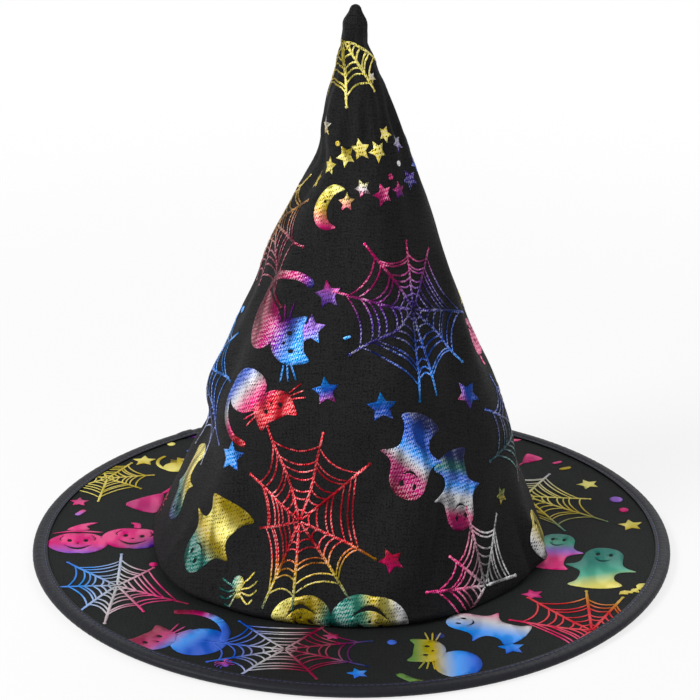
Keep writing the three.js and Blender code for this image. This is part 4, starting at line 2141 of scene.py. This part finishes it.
def broom() -> Drawing:
    """A broom with a flared brush."""
    brush = curve([(0.06, -0.1), (0.34, -0.62), (0.4, -1.0), (-0.36, -1.0), (-0.32, -0.6), (-0.06, -0.1)], 3)
    return Drawing([(brush, [])], [(np.array([(0.0, -0.04), (0.02, 0.5), (0.0, 1.0)]), 0.13)])


def dash() -> Drawing:
    """A short thick line."""
    return Drawing(strokes=[(np.linspace((-1, 0), (1, 0), 6), 0.8)])


def dot() -> Drawing:
    """A small round spot."""
    return Drawing([(oval(0, 0, 1, 1, 12), [])])


class Motif(Enum):
    """The shapes that the foil is cut to."""

    STAR = star()
    MOON = moon()
    GHOST = ghost()
    GHOST_TURNED = ghost(-1)
    PUMPKIN = pumpkin()
    HATTED = hatted()
    CAT = cat()
    CAT_TURNED = cat(-1)
    BAT = bat()
    SPIDER = spider()
    BROOM = broom()
    DASH = dash()
    DOT = dot()


(
    STAR, MOON, GHOST, GHOST_TURNED, PUMPKIN, HATTED, CAT, CAT_TURNED, BAT, SPIDER, BROOM, DASH, DOT
) = Motif


@dataclass(frozen=True)
class Figure:
    """One foil shape on the cloth.

    On the crown, across is its angle in degrees and up its height; on the brim they lie
    along X and Y. Both, and its half height, are in millimetres, and its turn in degrees.
    """

    motif: Motif
    across: float
    up: float
    size: float
    turn: float
    inks: str
    way: float = -90.0

    def drawing(self) -> tuple[Drawing, Dye]:
        """What it is cut to and how it is dyed."""
        return self.motif.value, Dye(self.inks, self.way - self.turn)


def figures(*rows: tuple) -> tuple[Figure, ...]:
    """Figures from rows of their fields."""
    return tuple(Figure(*row) for row in rows)


@dataclass(frozen=True)
class Web:
    """A web: its middle, its spokes as degrees and millimetres, its rings and its dye."""

    across: float
    up: float
    spokes: tuple[Point, ...]
    inks: str
    way: float = -90.0
    rings: int = 6
    width: float = 1.25
    size: float = 1.0
    turn: float = 0.0

    def drawing(self) -> tuple[Drawing, Dye]:
        """Tapered spokes, and rings that sag towards the middle between them.

        Returns:
            Its drawing and its dye.
        """
        tips = [
            np.array((math.cos(math.radians(turn)), math.sin(math.radians(turn)))) * reach
            for turn, reach in self.spokes
        ]
        strokes = [(np.linspace(tip * 0.02, tip, 9), self.width * 1.1) for tip in tips]
        knobs = [(oval(*tip, self.width * 0.68, self.width * 0.68, 8), []) for tip in tips]
        order = sorted(range(len(tips)), key=lambda spot: self.spokes[spot][0] % 360)
        for one, other in zip(order, [*order[1:], order[0]]):
            gap = (self.spokes[other][0] - self.spokes[one][0]) % 360
            if gap > 130:
                continue
            for ring in range(1, self.rings + 1):
                wobble = 1 + 0.045 * math.sin(2.4 * ring + 5.0 * one)
                share = 0.82 * (ring / self.rings) ** 0.92 * wobble
                first, last = tips[one] * share, tips[other] * share
                middle = (first + last) / 2 * (0.80 if gap < 75 else 0.90)
                steps = np.linspace(0, 1, 7)[:, None]
                line = first * (1 - steps) ** 2 + 2 * middle * steps * (1 - steps) + last * steps**2
                strokes.append((line, self.width * 0.70))
        return Drawing(knobs, strokes), Dye(self.inks, self.way)

    @property
    def reach(self) -> float:
        """How far its longest spoke goes."""
        return max(reach for _, reach in self.spokes)


class Stencil:
    """Cuts drawings out of foil, flat on a cloth's pattern, in small faces that can bend."""

    LEVEL = 0.012 * MM        # each shape of a drawing lies this much above the last
    TAPER = 0.6               # a ribbon's width at its ends

    def __init__(self, step: float) -> None:
        """Starts a flat mesh that is diced at every step.

        Args:
            step: the side of one square, in metres.
        """
        self.step = step
        self.mesh = bmesh.new()
        self.colour = self.mesh.verts.layers.float_color.new(FOIL)
        self.scratch = bpy.data.meshes.new("stencil")

    def _fill(self, sketch: Mesh, loops: Sequence[Array], level: float) -> None:
        """Fills an outline.

        Args:
            sketch: what to add it to.
            loops: the outline, then the holes that stay open.
            level: how high it lies.
        """
        edges = []
        for loop in loops:
            verts = [sketch.verts.new((x, y, level)) for x, y in loop]
            edges += [sketch.edges.new(pair) for pair in zip(verts, [*verts[1:], verts[0]])]
        bmesh.ops.triangle_fill(sketch, use_beauty=True, use_dissolve=False, edges=edges)

    def _stroke(self, sketch: Mesh, path: Array, width: float, level: float) -> None:
        """Adds a ribbon that narrows at both ends.

        Args:
            sketch: what to add it to.
            path: its middle line.
            width: its width.
            level: how high it lies.
        """
        last = len(path) - 1
        ways = np.gradient(path, axis=0)
        sides = stacked(-ways[:, 1], ways[:, 0]) / np.linalg.norm(ways, axis=1, keepdims=True)
        widths = np.full(last + 1, width / 2)
        widths[[0, -1]] *= self.TAPER
        made = bmesh.ops.create_grid(sketch, x_segments=last, y_segments=1, size=0.5)["verts"]
        for vert in made:
            spot = round((vert.co.x + 0.5) * last)
            x, y = path[spot] + sides[spot] * widths[spot] * math.copysign(1, vert.co.y)
            vert.co = (x, y, level)

    def _dice(self, sketch: Mesh) -> None:
        """Cuts the faces along a square grid."""
        for axis in (0, 1):
            values = [vert.co[axis] for vert in sketch.verts]
            first, last = math.ceil(min(values) / self.step), math.floor(max(values) / self.step)
            normal = Vector((1, 0, 0) if axis == 0 else (0, 1, 0))
            for line in range(first, last + 1):
                bmesh.ops.bisect_plane(
                    sketch,
                    geom=[*sketch.verts, *sketch.edges, *sketch.faces],
                    dist=1e-7,
                    plane_co=normal * line * self.step,
                    plane_no=normal,
                )

    def draw(
        self, anchor: Matrix, figure: Figure | Web, cuts: Sequence[tuple[Vector, Vector]] = ()
    ) -> None:
        """Cuts one figure or web and lays it on the pattern.

        Args:
            anchor: where its middle lies on the pattern and which way is up, in metres.
            figure: what to cut.
            cuts: lines that end the cloth, each a point and the way that is cut away.
        """
        drawing, dye = figure.drawing()
        scale = figure.size * MM
        placed = anchor @ Matrix.Rotation(math.radians(figure.turn), 4, "Z") @ Matrix.Scale(scale, 4)
        sketch = bmesh.new()
        for number, (outline, holes) in enumerate(drawing.patches):
            self._fill(sketch, [outline, *holes], (number % 3) * self.LEVEL / scale)
        for number, (path, width) in enumerate(drawing.strokes):
            self._stroke(sketch, path, width, (3 + number % 5) * self.LEVEL / scale)
        bmesh.ops.transform(sketch, matrix=placed, verts=sketch.verts)
        self._dice(sketch)
        for point, away in cuts:
            bmesh.ops.bisect_plane(
                sketch, geom=[*sketch.verts, *sketch.edges, *sketch.faces], dist=1e-7,
                plane_co=point, plane_no=away, clear_outer=True,
            )
        down = [face for face in sketch.faces if face.normal.z < 0]
        bmesh.ops.reverse_faces(sketch, faces=down)
        if sketch.verts:
            back = placed.inverted()
            local = np.array([(back @ vert.co)[:2] for vert in sketch.verts])
            reach = figure.reach if isinstance(figure, Web) else 1.0
            layer = sketch.verts.layers.float_color.new(FOIL)
            for vert, colour in zip(sketch.verts, dye.at(local, reach)):
                vert[layer] = (*colour, 1.0)
            sketch.to_mesh(self.scratch)
            self.mesh.from_mesh(self.scratch)
        sketch.free()

    def laid(self, keep: Callable[[Array], Array], lay: Callable[[Array, Array], Array]) -> Mesh:
        """Bends the flat foil onto its cloth.

        Args:
            keep: whether each flat place is on the cloth.
            lay: takes flat places and their levels, and returns places in metres.

        Returns:
            The bent mesh, with the flat places as its UV map.
        """
        mesh = self.mesh
        kept = keep(np.array([vert.co[:2] for vert in mesh.verts]))
        for vert, stays in zip(mesh.verts, kept):
            vert.tag = not stays
        gone = [face for face in mesh.faces if all(vert.tag for vert in face.verts)]
        bmesh.ops.delete(mesh, geom=gone, context="FACES")
        flat = np.array([vert.co[:] for vert in mesh.verts])
        layer = mesh.loops.layers.uv.new(FLAT)
        for face in mesh.faces:
            for loop in face.loops:
                loop[layer].uv = loop.vert.co[:2]
        for vert, co in zip(mesh.verts, lay(flat[:, :2], flat[:, 2])):
            vert.co = co
        bpy.data.meshes.remove(self.scratch)
        return mesh


FOIL_LIFT = 0.20 * MM
FOIL_WALL = 0.12 * MM


@dataclass
class CrownPrint(Part):
    """The foil on the crown. Its shapes stand on their heads, as the cloth was cut."""

    step: float = 2.2 * MM
    hem_margin: float = 4.0 * MM
    WEBS: tuple[Web, ...] = (
        Web(-18, 53, ((145, 37), (113, 52), (80, 47), (46, 47), (-18, 44), (-47, 47), (-84, 44),
                      (-104, 46), (-162, 23)), "RRRRRGT", -74, 7),
        Web(36, 150, ((88, 35), (120, 45), (156, 46), (199, 42), (260, 44), (275, 43), (313, 43),
                      (350, 42), (56, 34)), "PMVNBK", -78, 7),
        Web(-94, 180, ((-64, 32), (-26, 52), (10, 40), (45, 34), (80, 30), (-92, 32), (-125, 34),
                       (-160, 38), (160, 34), (120, 30)), "SGCC", -40, 6),
        Web(-52, 280, ((-73, 34), (-40, 30), (-4, 25), (-108, 32), (-145, 28), (176, 22)),
            "CGYG", 10, 6, 1.35),
        Web(-103, 98, ((-14, 62), (-38, 60), (-75, 46), (18, 48), (52, 40), (88, 36), (130, 36),
                       (172, 36), (-112, 40), (-150, 36)), "KKBS", -80, 6),
        Web(44, 12, ((165, 39), (132, 30), (94, 43), (57, 38), (-3, 23), (211, 30)),
            "SSSPP", 165, 6, 1.4),
        Web(87, 71, ((179, 42), (139, 39), (100, 34), (60, 34), (20, 36), (-30, 34), (-76, 31),
                     (-125, 30)), "CTNB", 90, 6),
        Web(132, 40, ((100, 42), (65, 40), (25, 38), (-20, 36), (140, 36), (180, 34), (-140, 30)),
            "BKS", 90, 6),
        Web(168, 112, ((90, 40), (50, 34), (10, 36), (130, 38), (170, 36), (-145, 36), (-100, 40),
                       (-50, 36)), "RMV", -60, 6),
        Web(-128, 42, ((95, 44), (58, 40), (20, 38), (135, 36), (175, 34), (-25, 36), (-150, 30)),
            "GAT", -90, 6),
        Web(126, 172, ((90, 30), (40, 26), (-10, 28), (140, 26), (190, 26), (-80, 30), (-125, 26)),
            "YGR", 30, 6, 1.2),
        Web(-160, 198, ((90, 26), (45, 22), (0, 24), (135, 22), (180, 22), (-60, 26), (-110, 24)),
            "VBS", -30, 6, 1.4, 0.72),
    )
    FIGURES: tuple[Figure, ...] = figures(
        (STAR, -56, 237, 5.5, 12, "SG"), (MOON, -27, 200, 11.0, 0, "YGP"),
        (STAR, -61, 209, 4.8, 20, "G"), (STAR, -42, 218, 5.0, 4, "GY"),
        (STAR, -21, 224, 6.0, 30, "GY"), (STAR, -1, 228, 6.0, 8, "YG"),
        (STAR, 21, 227, 5.6, 22, "YG"), (STAR, 38, 234, 4.6, 40, "GY"),
        (STAR, 57, 228, 4.8, 12, "SV"), (DOT, -32, 230, 1.4, 0, "G"), (STAR, -14, 203, 4.8, 8, "YP"),
        (STAR, 0, 210, 4.6, 26, "YSP"), (STAR, 19, 207, 5.8, 14, "PM"), (DOT, 31, 214, 1.6, 0, "P"),
        (STAR, 38, 207, 4.6, 0, "PV"), (STAR, 57, 210, 5.4, 18, "VN"), (DOT, 47, 219, 1.5, 0, "S"),
        (STAR, 74, 216, 4.6, 18, "NB"), (CAT, -46, 141, 19.0, -70, "CCMVK", -12),
        (STAR, -17, 160, 7.5, 14, "PLV"), (STAR, -24, 143, 8.0, 6, "VLK", -60),
        (STAR, -12, 116, 7.4, 14, "KBM", -70), (STAR, 12, 110, 7.5, 4, "KBB"),
        (STAR, -48, 77, 8.2, 10, "KKB", 0), (STAR, 12, 37, 6.4, 24, "RP"),
        (STAR, 62, 48, 5.2, 8, "EG"), (DASH, -4, 141, 2.0, 20, "K"),
        (CAT_TURNED, -43, 108, 16.5, -142, "BSPRR", -32), (STAR, 58, 103, 7.6, 20, "MBB", 0),
        (GHOST_TURNED, 22, 84, 21.0, 156, "CMMSKBBN", 44),
        (GHOST, 39, 61, 20.5, 182, "MPSSKBTN", 68), (GHOST, -48, 36, 22.0, 152, "TTGYG", 66),
        (GHOST_TURNED, -79, 44, 20.0, 196, "NTGY", 70), (SPIDER, -33, 17, 10.5, 200, "YGTT", 180),
        (PUMPKIN, -13, -2, 14.0, 192, "YGGT", -20), (PUMPKIN, 6, 6, 17.5, 174, "SYGATT", 190),
        (PUMPKIN, 86, 122, 12.0, 160, "MP"), (HATTED, 79, 15, 16.0, 168, "SGYG", 20),
        (PUMPKIN, 108, 96, 13.0, 186, "PMV", 60), (STAR, 116, 122, 7.0, 12, "KB"),
        (STAR, 100, 138, 6.6, 30, "GY"), (GHOST, 154, 66, 20.0, 182, "SKB", 90),
        (CAT, 136, 124, 16.0, -88, "TAGY", 0), (BAT, 112, 16, 7.5, 186, "SP", 0),
        (MOON, 108, 196, 9.5, 10, "SKB"), (STAR, 146, 150, 7.0, 6, "MV"),
        (STAR, 172, 160, 6.6, 24, "GS"), (PUMPKIN, 165, 12, 14.5, 176, "YGR", 40),
        (HATTED, -166, 54, 14.0, 184, "PMB", 70), (STAR, -176, 30, 7.4, 14, "KV"),
        (STAR, 148, 92, 6.4, 0, "GE"), (GHOST_TURNED, -130, 147, 15.0, 190, "GSP", 80),
        (CAT, -151, 100, 15.0, -94, "RPSK", 0), (STAR, -150, 124, 7.2, 0, "PL"),
        (BAT, -172, 78, 6.4, 176, "VK", 0), (SPIDER, -96, 22, 8.5, 170, "MR", 90),
        (GHOST, -158, 16, 17.0, 188, "BSG", 90), (MOON, -170, 150, 9.5, 0, "PV"),
        (STAR, -110, 196, 5.2, 8, "RP"), (STAR, 158, 208, 4.6, 20, "SG"),
        (STAR, 96, 224, 4.4, 4, "KB"), (STAR, 132, 232, 4.2, 30, "GS"),
        (STAR, -172, 228, 4.6, 12, "GY"), (STAR, -118, 228, 4.4, 0, "MP"),
        (DOT, 118, 212, 1.8, 0, "S"), (DOT, -146, 226, 1.6, 0, "G"), (DOT, 178, 196, 2.0, 0, "P"),
        (DOT, -98, 132, 2.0, 0, "K"), (DASH, 126, 142, 2.4, 30, "PR"),
        (DASH, -158, 168, 2.2, -20, "B"), (DASH, 88, 150, 2.2, 40, "G"), (DOT, 110, 58, 2.0, 0, "Y"),
        (STAR, 118, 256, 3.6, 10, "BK"), (STAR, 40, 262, 3.2, 24, "SG"),
        (STAR, -150, 262, 3.4, 0, "PM"),
    )

    def build(self) -> None:
        """Cuts every shape and presses it on."""
        shape = self.shape
        stencil = Stencil(self.step)
        turn = math.pi * shape.fan
        cuts = [
            (Vector((0, 0, 0)), Vector((side * math.cos(turn), math.sin(turn), 0)))
            for side in (-1, 1)
        ]
        for figure in (*self.WEBS, *self.FIGURES):
            stencil.draw(shape.anchor(figure.across, figure.up), figure, cuts)

        def keep(flat: Array) -> Array:
            """Whether places are above the hem's turn."""
            return np.hypot(flat[:, 0], flat[:, 1]) < shape.hem_reach + self.hem_margin

        def lay(flat: Array, level: Array) -> Array:
            """Places on the crown."""
            return shape.from_pattern(flat, FOIL_LIFT + level)

        self.pieces.add(
            "crown_foil_print", stencil.laid(keep, lay), "foil_print",
            self.finishes.crown_foil, wall=FOIL_WALL,
        )


@dataclass
class BrimPrint(Part):
    """The foil on the brim, the right way up from the front."""

    step: float = 4.0 * MM
    inner: float = 100.5 * MM
    outer: float = 163.4 * MM
    WEBS: tuple[Web, ...] = (
        Web(-121, -58, ((136, 39), (184, 30), (240, 32), (266, 42), (-61, 32), (-27, 42), (52, 28),
                        (91, 38)), "BKSPC", -8, 6, 1.4),
        Web(-137, 75, ((-35, 24), (10, 26), (60, 24), (110, 26), (160, 24), (215, 30), (265, 30)),
            "YG", 0, 6),
        Web(-33, -126, ((168, 44), (200, 40), (232, 36), (-62, 34), (-22, 44), (12, 44), (52, 34),
                        (128, 38)), "BBSCCN", -12, 6, 1.3),
        Web(120, -107, ((129, 47), (89, 43), (62, 40), (30, 34), (163, 42), (-128, 22)),
            "MPRRG", 62, 6, 1.4),
        Web(96, 52, ((61, 32), (-8, 36), (-38, 54), (-67, 48), (150, 24), (105, 30), (-120, 24)),
            "LSYGT", -80, 7),
        Web(60, 128, ((20, 34), (65, 30), (110, 28), (160, 34), (205, 30), (-30, 34), (-80, 26)),
            "MPG", 0, 6),
        Web(-62, 124, ((10, 34), (55, 28), (100, 30), (150, 34), (200, 34), (-35, 32), (-85, 24)),
            "TKB", 160, 6),
    )
    FIGURES: tuple[Figure, ...] = figures(
        (HATTED, -146, -8, 14.5, 4, "PPL", -90), (PUMPKIN, -117, -1, 15.0, -6, "PPMV", -50),
        (STAR, -118, 99, 7.0, 0, "YG"), (CAT, -98, 94, 9.0, 0, "GY"),
        (BROOM, -104, 56, 24.0, -32, "MPP", 60), (CAT_TURNED, -84, -117, 20.5, 48, "CMKBB", -35),
        (GHOST_TURNED, 67, -102, 20.5, 62, "PSKB", 250), (STAR, 79, -124, 7.0, 10, "KB"),
        (CAT, 46, -136, 18.0, 84, "BKGE", 180), (STAR, 93, -67, 6.0, 14, "PM"),
        (GHOST, 130, -37, 23.0, -14, "YATT", 104), (GHOST_TURNED, 107, -16, 20.5, -16, "PPLAT", 84),
        (STAR, 132, 66, 6.5, 20, "Y"), (STAR, 151, 14, 7.0, 6, "YG"),
        (BROOM, 97, 95, 13.0, 140, "PM"), (DASH, 121, 88, 3.6, 24, "G"),
        (DASH, 117, 96, 3.0, 28, "P"), (DOT, 146, 46, 3.6, 0, "L"), (DOT, 149, 33, 2.6, 0, "P"),
        (BAT, 146, -64, 6.0, 40, "YG"), (SPIDER, -62, -142, 5.0, 30, "PB"),
        (STAR, 3, -150, 5.6, 18, "KB"), (DOT, 20, -118, 2.4, 0, "B"),
        (DASH, -148, 30, 4.0, 60, "PL"), (STAR, -150, 44, 5.6, 0, "MP"),
        (DOT, -104, -32, 2.4, 0, "P"), (GHOST, 4, 132, 18.0, 4, "SKV", -90),
        (PUMPKIN, -26, 144, 13.0, -6, "GYP", 0), (STAR, 28, 148, 6.6, 12, "PM"),
        (STAR, -20, 118, 6.4, 30, "K"), (STAR, 34, 112, 6.0, 4, "YG"),
        (MOON, 92, 134, 9.0, 20, "GP"), (BAT, -88, 134, 6.8, 24, "VM", 0),
        (STAR, -92, 74, 5.6, 12, "G"), (DOT, -104, 122, 2.4, 0, "Y"),
        (STAR, -10, -112, 4.6, 10, "CM"), (DOT, 44, -112, 2.4, 0, "N"),
    )

    def build(self) -> None:
        """Cuts every shape and presses it on."""
        stencil = Stencil(self.step)
        for figure in (*self.WEBS, *self.FIGURES):
            anchor = Matrix.Translation((figure.across * MM, figure.up * MM, 0))
            stencil.draw(anchor, figure)

        def keep(flat: Array) -> Array:
            """Whether places are between the crown and the binding."""
            radius = np.hypot(flat[:, 0], flat[:, 1])
            return (radius > self.inner) & (radius < self.outer)

        def lay(flat: Array, level: Array) -> Array:
            """Places on the brim."""
            x, y = flat[:, 0], flat[:, 1]
            height = self.hat.print_top + FOIL_LIFT + level + self.shape.rumple(x, y)
            return self.shape.raised(stacked(x, y, height))

        self.pieces.add(
            "brim_foil_print", stencil.laid(keep, lay), "foil_print",
            self.finishes.brim_foil, wall=FOIL_WALL,
        )


# --- the studio ---


@dataclass(frozen=True)
class Studio:
    """The floor, the lamps, the world and the camera.

    The floor shows as lit near the hat and turns white from the shaded distance out to the
    blank one; whiteness is how white it is near the hat.
    """

    floor_size: float = 6.0
    floor_colour: Colour = shade(0.94, 0.94, 0.94)
    distance: float = 1.4167
    elevation: float = math.radians(22.04)
    lens: float = 139.8
    sensor: float = 36.0
    aim: Vector = Vector((-0.0008, 0.0, 0.1123))
    ambient: float = 0.34
    whiteness: float = 0.78
    shaded: float = 0.32
    blank: float = 0.85

    def floor(self) -> None:
        """Makes a pale floor that keeps the shadow, and that a view from below looks through."""
        mesh = bmesh.new()
        bmesh.ops.create_grid(mesh, x_segments=2, y_segments=2, size=self.floor_size / 2)
        data = bpy.data.meshes.new("floor")
        mesh.to_mesh(data)
        mesh.free()
        floor = bpy.data.objects.new("floor", data)
        bpy.context.scene.collection.objects.link(floor)
        finish = Finish("floor", base_color=self.floor_colour, roughness=0.9, specular_ior_level=0.1)
        nodes = finish.nodes
        rays = nodes.add("LightPath").outputs
        seen = nodes.math("MAXIMUM", rays["Is Camera Ray"], rays["Is Glossy Ray"])
        white = nodes.add("Emission", {"Strength": 1.0}).outputs[0]
        away = nodes.add("VectorMath", {0: finish.object_place()}, operation="LENGTH")
        whiteness = nodes.ramp(
            away.outputs["Value"], self.shaded, self.blank, self.whiteness, 1.0
        )
        share = nodes.times(seen, whiteness)
        pale = nodes.add("MixShader", {0: share, 1: finish.shader.outputs[0], 2: white})
        clear = nodes.add("BsdfTransparent").outputs[0]
        below = nodes.add("NewGeometry").outputs["Backfacing"]
        unseen = nodes.math("MAXIMUM", below, rays["Is Shadow Ray"])
        mixed = nodes.add("MixShader", {0: unseen, 1: pale.outputs[0], 2: clear}).outputs[0]
        output = finish.material.node_tree.nodes["Material Output"]
        nodes.feed(output.inputs["Surface"], mixed)
        data.materials.append(finish.material)

    def world(self) -> None:
        """Lights the hat evenly and shows white behind it and in its reflections."""
        world = bpy.data.worlds.new("studio")
        bpy.context.scene.world = world
        world.use_nodes = True
        nodes = Nodes(world.node_tree)
        rays = nodes.add("LightPath").outputs
        seen = nodes.math("MAXIMUM", rays["Is Camera Ray"], rays["Is Glossy Ray"])
        seen = nodes.math("MAXIMUM", seen, rays["Is Transmission Ray"])
        level = nodes.ramp(seen, 0.0, 1.0, self.ambient, 1.0)
        back = world.node_tree.nodes["Background"]
        back.inputs["Color"].default_value = (1, 1, 1, 1)
        nodes.feed(back.inputs["Strength"], level)

    def lamp(self, name: str, place: Vector, size: float, watts: float) -> None:
        """Adds a soft square lamp that faces the hat.

        Args:
            name: its name.
            place: where it stands.
            size: the side of the square.
            watts: its power.
        """
        data = bpy.data.lights.new(name, "AREA")
        data.shape = "SQUARE"
        data.size = size
        data.energy = watts
        lamp = bpy.data.objects.new(name, data)
        lamp.location = place
        lamp.rotation_euler = (place - self.aim).to_track_quat("Z", "Y").to_euler()
        bpy.context.scene.collection.objects.link(lamp)

    def camera(self) -> None:
        """Looks along +Y from a little above."""
        data = bpy.data.cameras.new("camera")
        data.lens = self.lens
        data.sensor_width = self.sensor
        data.clip_start = 0.05
        camera = bpy.data.objects.new("camera", data)
        back = Vector((0, -math.cos(self.elevation), math.sin(self.elevation)))
        camera.location = self.aim + back * self.distance
        camera.rotation_euler = back.to_track_quat("Z", "Y").to_euler()
        bpy.context.scene.collection.objects.link(camera)
        bpy.context.scene.camera = camera

    def build(self) -> None:
        """Makes all of it."""
        self.camera()
        self.floor()
        self.world()
        self.lamp("key", Vector((-1.3, -0.9, 1.45)), 0.7, 30.0)
        self.lamp("fill", Vector((1.2, -1.3, 1.0)), 1.0, 4.0)
        self.lamp("rear", Vector((0.6, 1.3, 1.5)), 1.2, 9.0)
        self.lamp("under", Vector((-0.3, -0.5, -1.1)), 1.0, 8.0)
        bpy.context.scene.view_settings.view_transform = "Standard"


def main() -> None:
    """Builds the hat, its printing and the studio."""
    logging.basicConfig(level=logging.INFO, format="%(name)s: %(message)s")
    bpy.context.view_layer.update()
    Studio().build()
    hat, finishes, pieces = HatFrame.read(), Finishes(), Pieces()
    crown_shape, brim_shape = CrownShape(hat), BrimShape()
    crown = Crown(hat, crown_shape, finishes, pieces)
    crown.cloth()
    crown.liner()
    crown.seam()
    brim = Brim(hat, brim_shape, finishes, pieces)
    brim.cloth()
    brim.backing()
    brim.felt()
    binding = Binding(hat, brim_shape, finishes, pieces)
    binding.tape()
    binding.stitching()
    binding.hoop()
    opening = HeadOpening(hat, crown_shape, finishes, pieces)
    opening.band()
    opening.stitching()
    opening.overlock()
    CrownPrint(hat, crown_shape, finishes, pieces).build()
    BrimPrint(hat, brim_shape, finishes, pieces).build()
    log.info("%d pieces", len(pieces.made))


if __name__ == "__main__":
    main()
